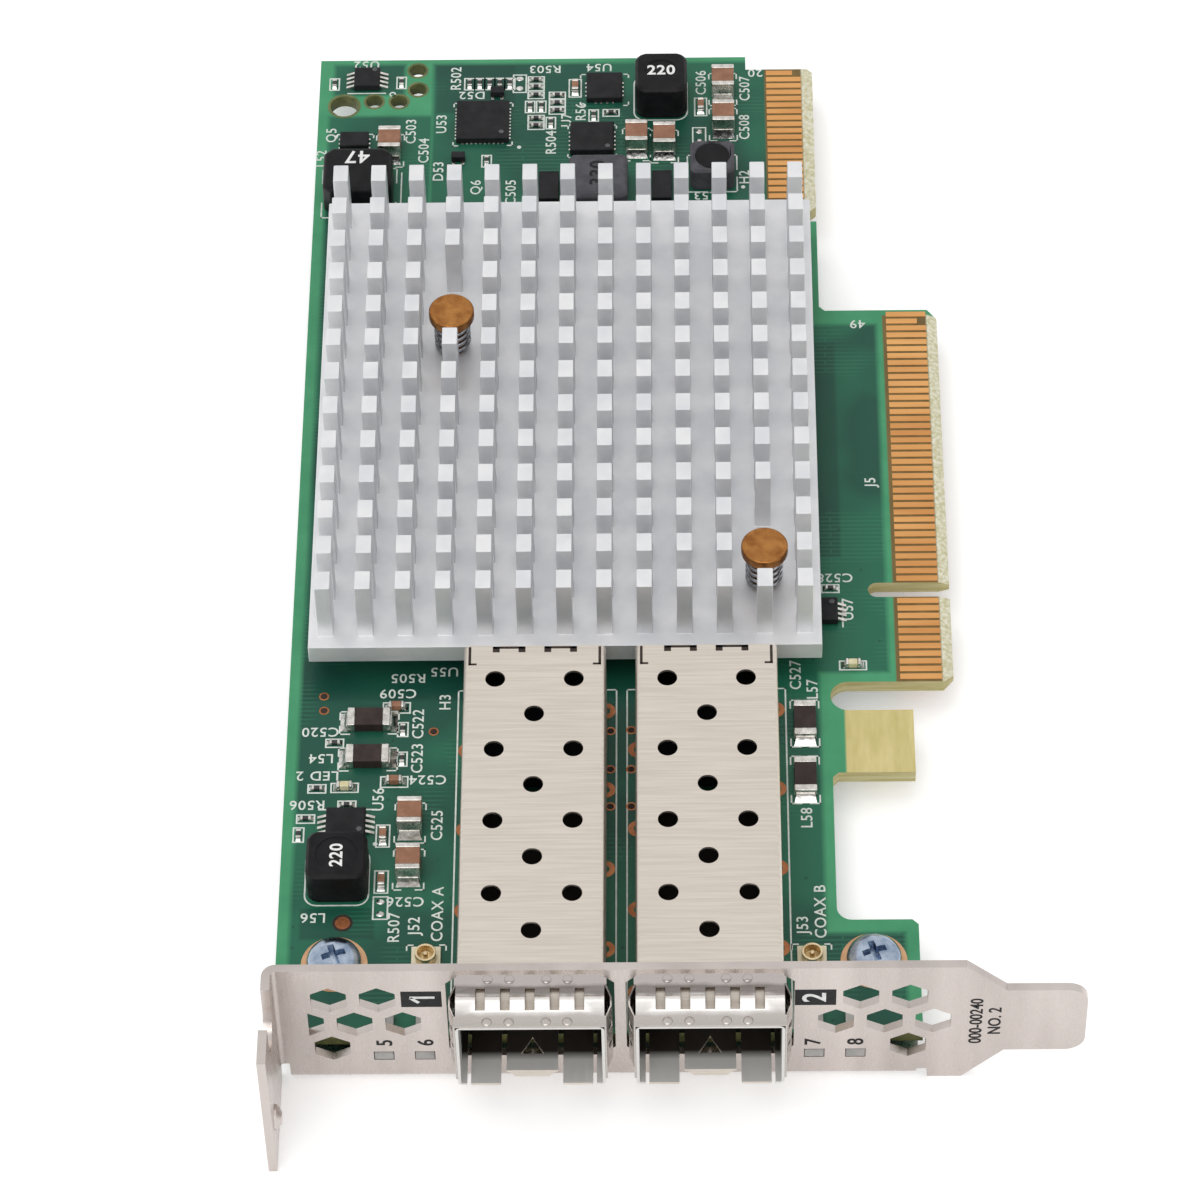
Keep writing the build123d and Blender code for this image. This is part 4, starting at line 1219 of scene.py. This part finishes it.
# Numbers and marks printed on the bracket's face
port_boxes = [(13.04, 7.42, 16.97, 9.98), (50.92, 7.31, 54.89, 9.87)]
face_marks = []
for low_x, low_z, high_x, high_z in port_boxes:
    middle = spot((low_x + high_x) / 2, face_level - 0.004, (low_z + high_z) / 2)
    box_print = plate(high_x - low_x, high_z - low_z, middle, (math.pi / 2, 0, 0))
    thicken(box_print, ink)
    face_marks.append(box_print)
complete(joined(face_marks), "port_boxes", "mark_black")


upright = Matrix.Rotation(math.pi / 2, 4, "X")


def face_bar(x, z, length, width, turn):
    bar = plate(length, width)
    thicken(bar, ink)
    stand = upright @ Matrix.Rotation(math.radians(turn), 4, "Z")
    bar.data.transform(Matrix.Translation(spot(x, face_level - 1.4 * ink, z)) @ stand)
    return bar


def face_lettering(entries, name, size, weight, finish):
    def place(x, z):
        return Matrix.Translation(spot(x, face_level - 1.6 * ink, z)) @ upright

    complete(letters(entries, size, weight, 4, 1.0, place), name, finish)


digit_bar = 0.36
digit_one = joined([face_bar(15.1, 9.0, 2.4, digit_bar, 0), face_bar(14.35, 8.55, 1.15, digit_bar, -46)])
complete(digit_one, "port_number_1", "mark_white")
face_lettering([("2", 52.9, 8.6, sideways)], "port_number_2", 3.2, 0.05, "mark_white")
face_lettering([
    ("5", 11.2, 1.35, sideways), ("6", 15.2, 1.35, sideways), ("7", 52.8, 1.05, sideways),
    ("8", 56.95, 1.05, sideways),
], "lamp_numbers", 2.2, 0.03, "mark_black")
face_lettering([
    ("000-00240", 68.5, 4.4, sideways), ("NO. 2", 70.3, 4.4, sideways),
], "plain_number", 1.75, 0.02, "mark_black")

# Cage tails through the board, each in a cone of solder underneath
tail_levels = {-1: (-9.2, -19.2, -29.2, -39.2), 1: (-4.2, -14.3, -24.2, -34.0)}
cage_side = 7.0
tail_size = (0.3, 0.9, 3.4)
tail_reach = 2.5
tail_master = block(*tail_size, -tail_reach)
pick_faces(tail_master, under)
bpy.ops.transform.resize(value=(0.7, 0.4, 1))
object_mode()
soften(tail_master, 0.05, 2)
tail_places = [
    (middle + side * cage_side, level)
    for middle in cage_middles
    for side, levels in tail_levels.items()
    for level in levels
]
tails = stamp(tail_master, at(tail_places))
complete(tails, "cage_tails", "cage_nickel")
tail_rings = stamp(ring_master(1.0, 0.45), at(tail_places))
complete(tail_rings, "tail_rings", "bare_copper")
cone_width = 1.7
cone_height = 0.45
cone = turned(cone_width, cone_height, -cone_height, 24)
pick_faces(cone, under)
bpy.ops.transform.resize(value=(0.35, 0.35, 1))
object_mode()
soften(cone, 0.1, 3)
cones = stamp(cone, at(tail_places, level=-board_thick))
complete(cones, "tail_solder", "solder")


# Floor, light and camera
def seen_rays(tree):
    """One for the rays that show the ground itself: to the camera, in metal and through clear parts."""
    path = tree.nodes.new("ShaderNodeLightPath")
    seen = sum_up(tree, "MAXIMUM", path.outputs["Is Camera Ray"], path.outputs["Is Glossy Ray"])
    return sum_up(tree, "MAXIMUM", seen, path.outputs["Is Transmission Ray"])


def studio_floor():
    deselect()
    bpy.ops.mesh.primitive_plane_add(size=3.0, location=(0, 0, -0.00002))
    floor = current()
    floor.name = "floor"
    material, tree, shader = start_material("floor_white")
    put(shader, "Roughness", 0.9)
    put(shader, "Specular IOR Level", 0.1)
    put(shader, "Emission Color", (1, 1, 1, 1))
    tree.links.new(spread(tree, seen_rays(tree), 0.0, 0.3, 0.0, 1.0), shader.inputs["Emission Strength"])
    paint = ramp(tree, noise(tree, 30, 2.0), 0.3, (0.93, 0.93, 0.93, 1), 0.7, (0.95, 0.95, 0.95, 1))
    tree.links.new(paint, shader.inputs["Base Color"])
    floor.data.materials.append(material)


def studio_light():
    world = bpy.data.worlds.new("studio")
    bpy.context.scene.world = world
    world.use_nodes = True
    tree = world.node_tree
    background = tree.nodes["Background"]
    put(background, "Color", (1, 1, 1, 1))
    tree.links.new(spread(tree, seen_rays(tree), 0.55, 1.0, 0.0, 1.0), background.inputs["Strength"])
    for name, place, size, energy in (
        ("overhead", (-0.25, 0.1, 1.1), 0.9, 4.0), ("front", (-0.15, -0.72, 0.8), 0.8, 3.4),
    ):
        bpy.ops.object.light_add(type="AREA", location=place)
        lamp = current()
        lamp.name = name
        lamp.rotation_euler = Vector(place).to_track_quat("Z", "Y").to_euler()
        lamp.data.shape = "SQUARE"
        lamp.data.size = size
        lamp.data.energy = energy
        lamp.visible_glossy = name == "front"


def photo_camera():
    pan, tilt, roll = (math.radians(angle) for angle in (camera_pan, camera_tilt, camera_roll))
    forward = Vector((math.sin(pan) * math.cos(tilt), math.cos(pan) * math.cos(tilt), -math.sin(tilt)))
    right = Vector((math.cos(pan), -math.sin(pan), 0))
    up = right.cross(forward)
    turned_right = math.cos(roll) * right + math.sin(roll) * up
    turned_up = -math.sin(roll) * right + math.cos(roll) * up
    bpy.ops.object.camera_add()
    camera = current()
    turn = Matrix((turned_right, turned_up, -forward)).transposed()
    camera.matrix_world = Matrix.Translation(camera_place) @ turn.to_4x4()
    camera.data.lens = camera_lens
    camera.data.sensor_width = camera_sensor
    camera.data.clip_start = 0.01
    bpy.context.scene.camera = camera


studio_floor()
studio_light()
photo_camera()
bpy.context.scene.view_settings.view_transform = "Standard"
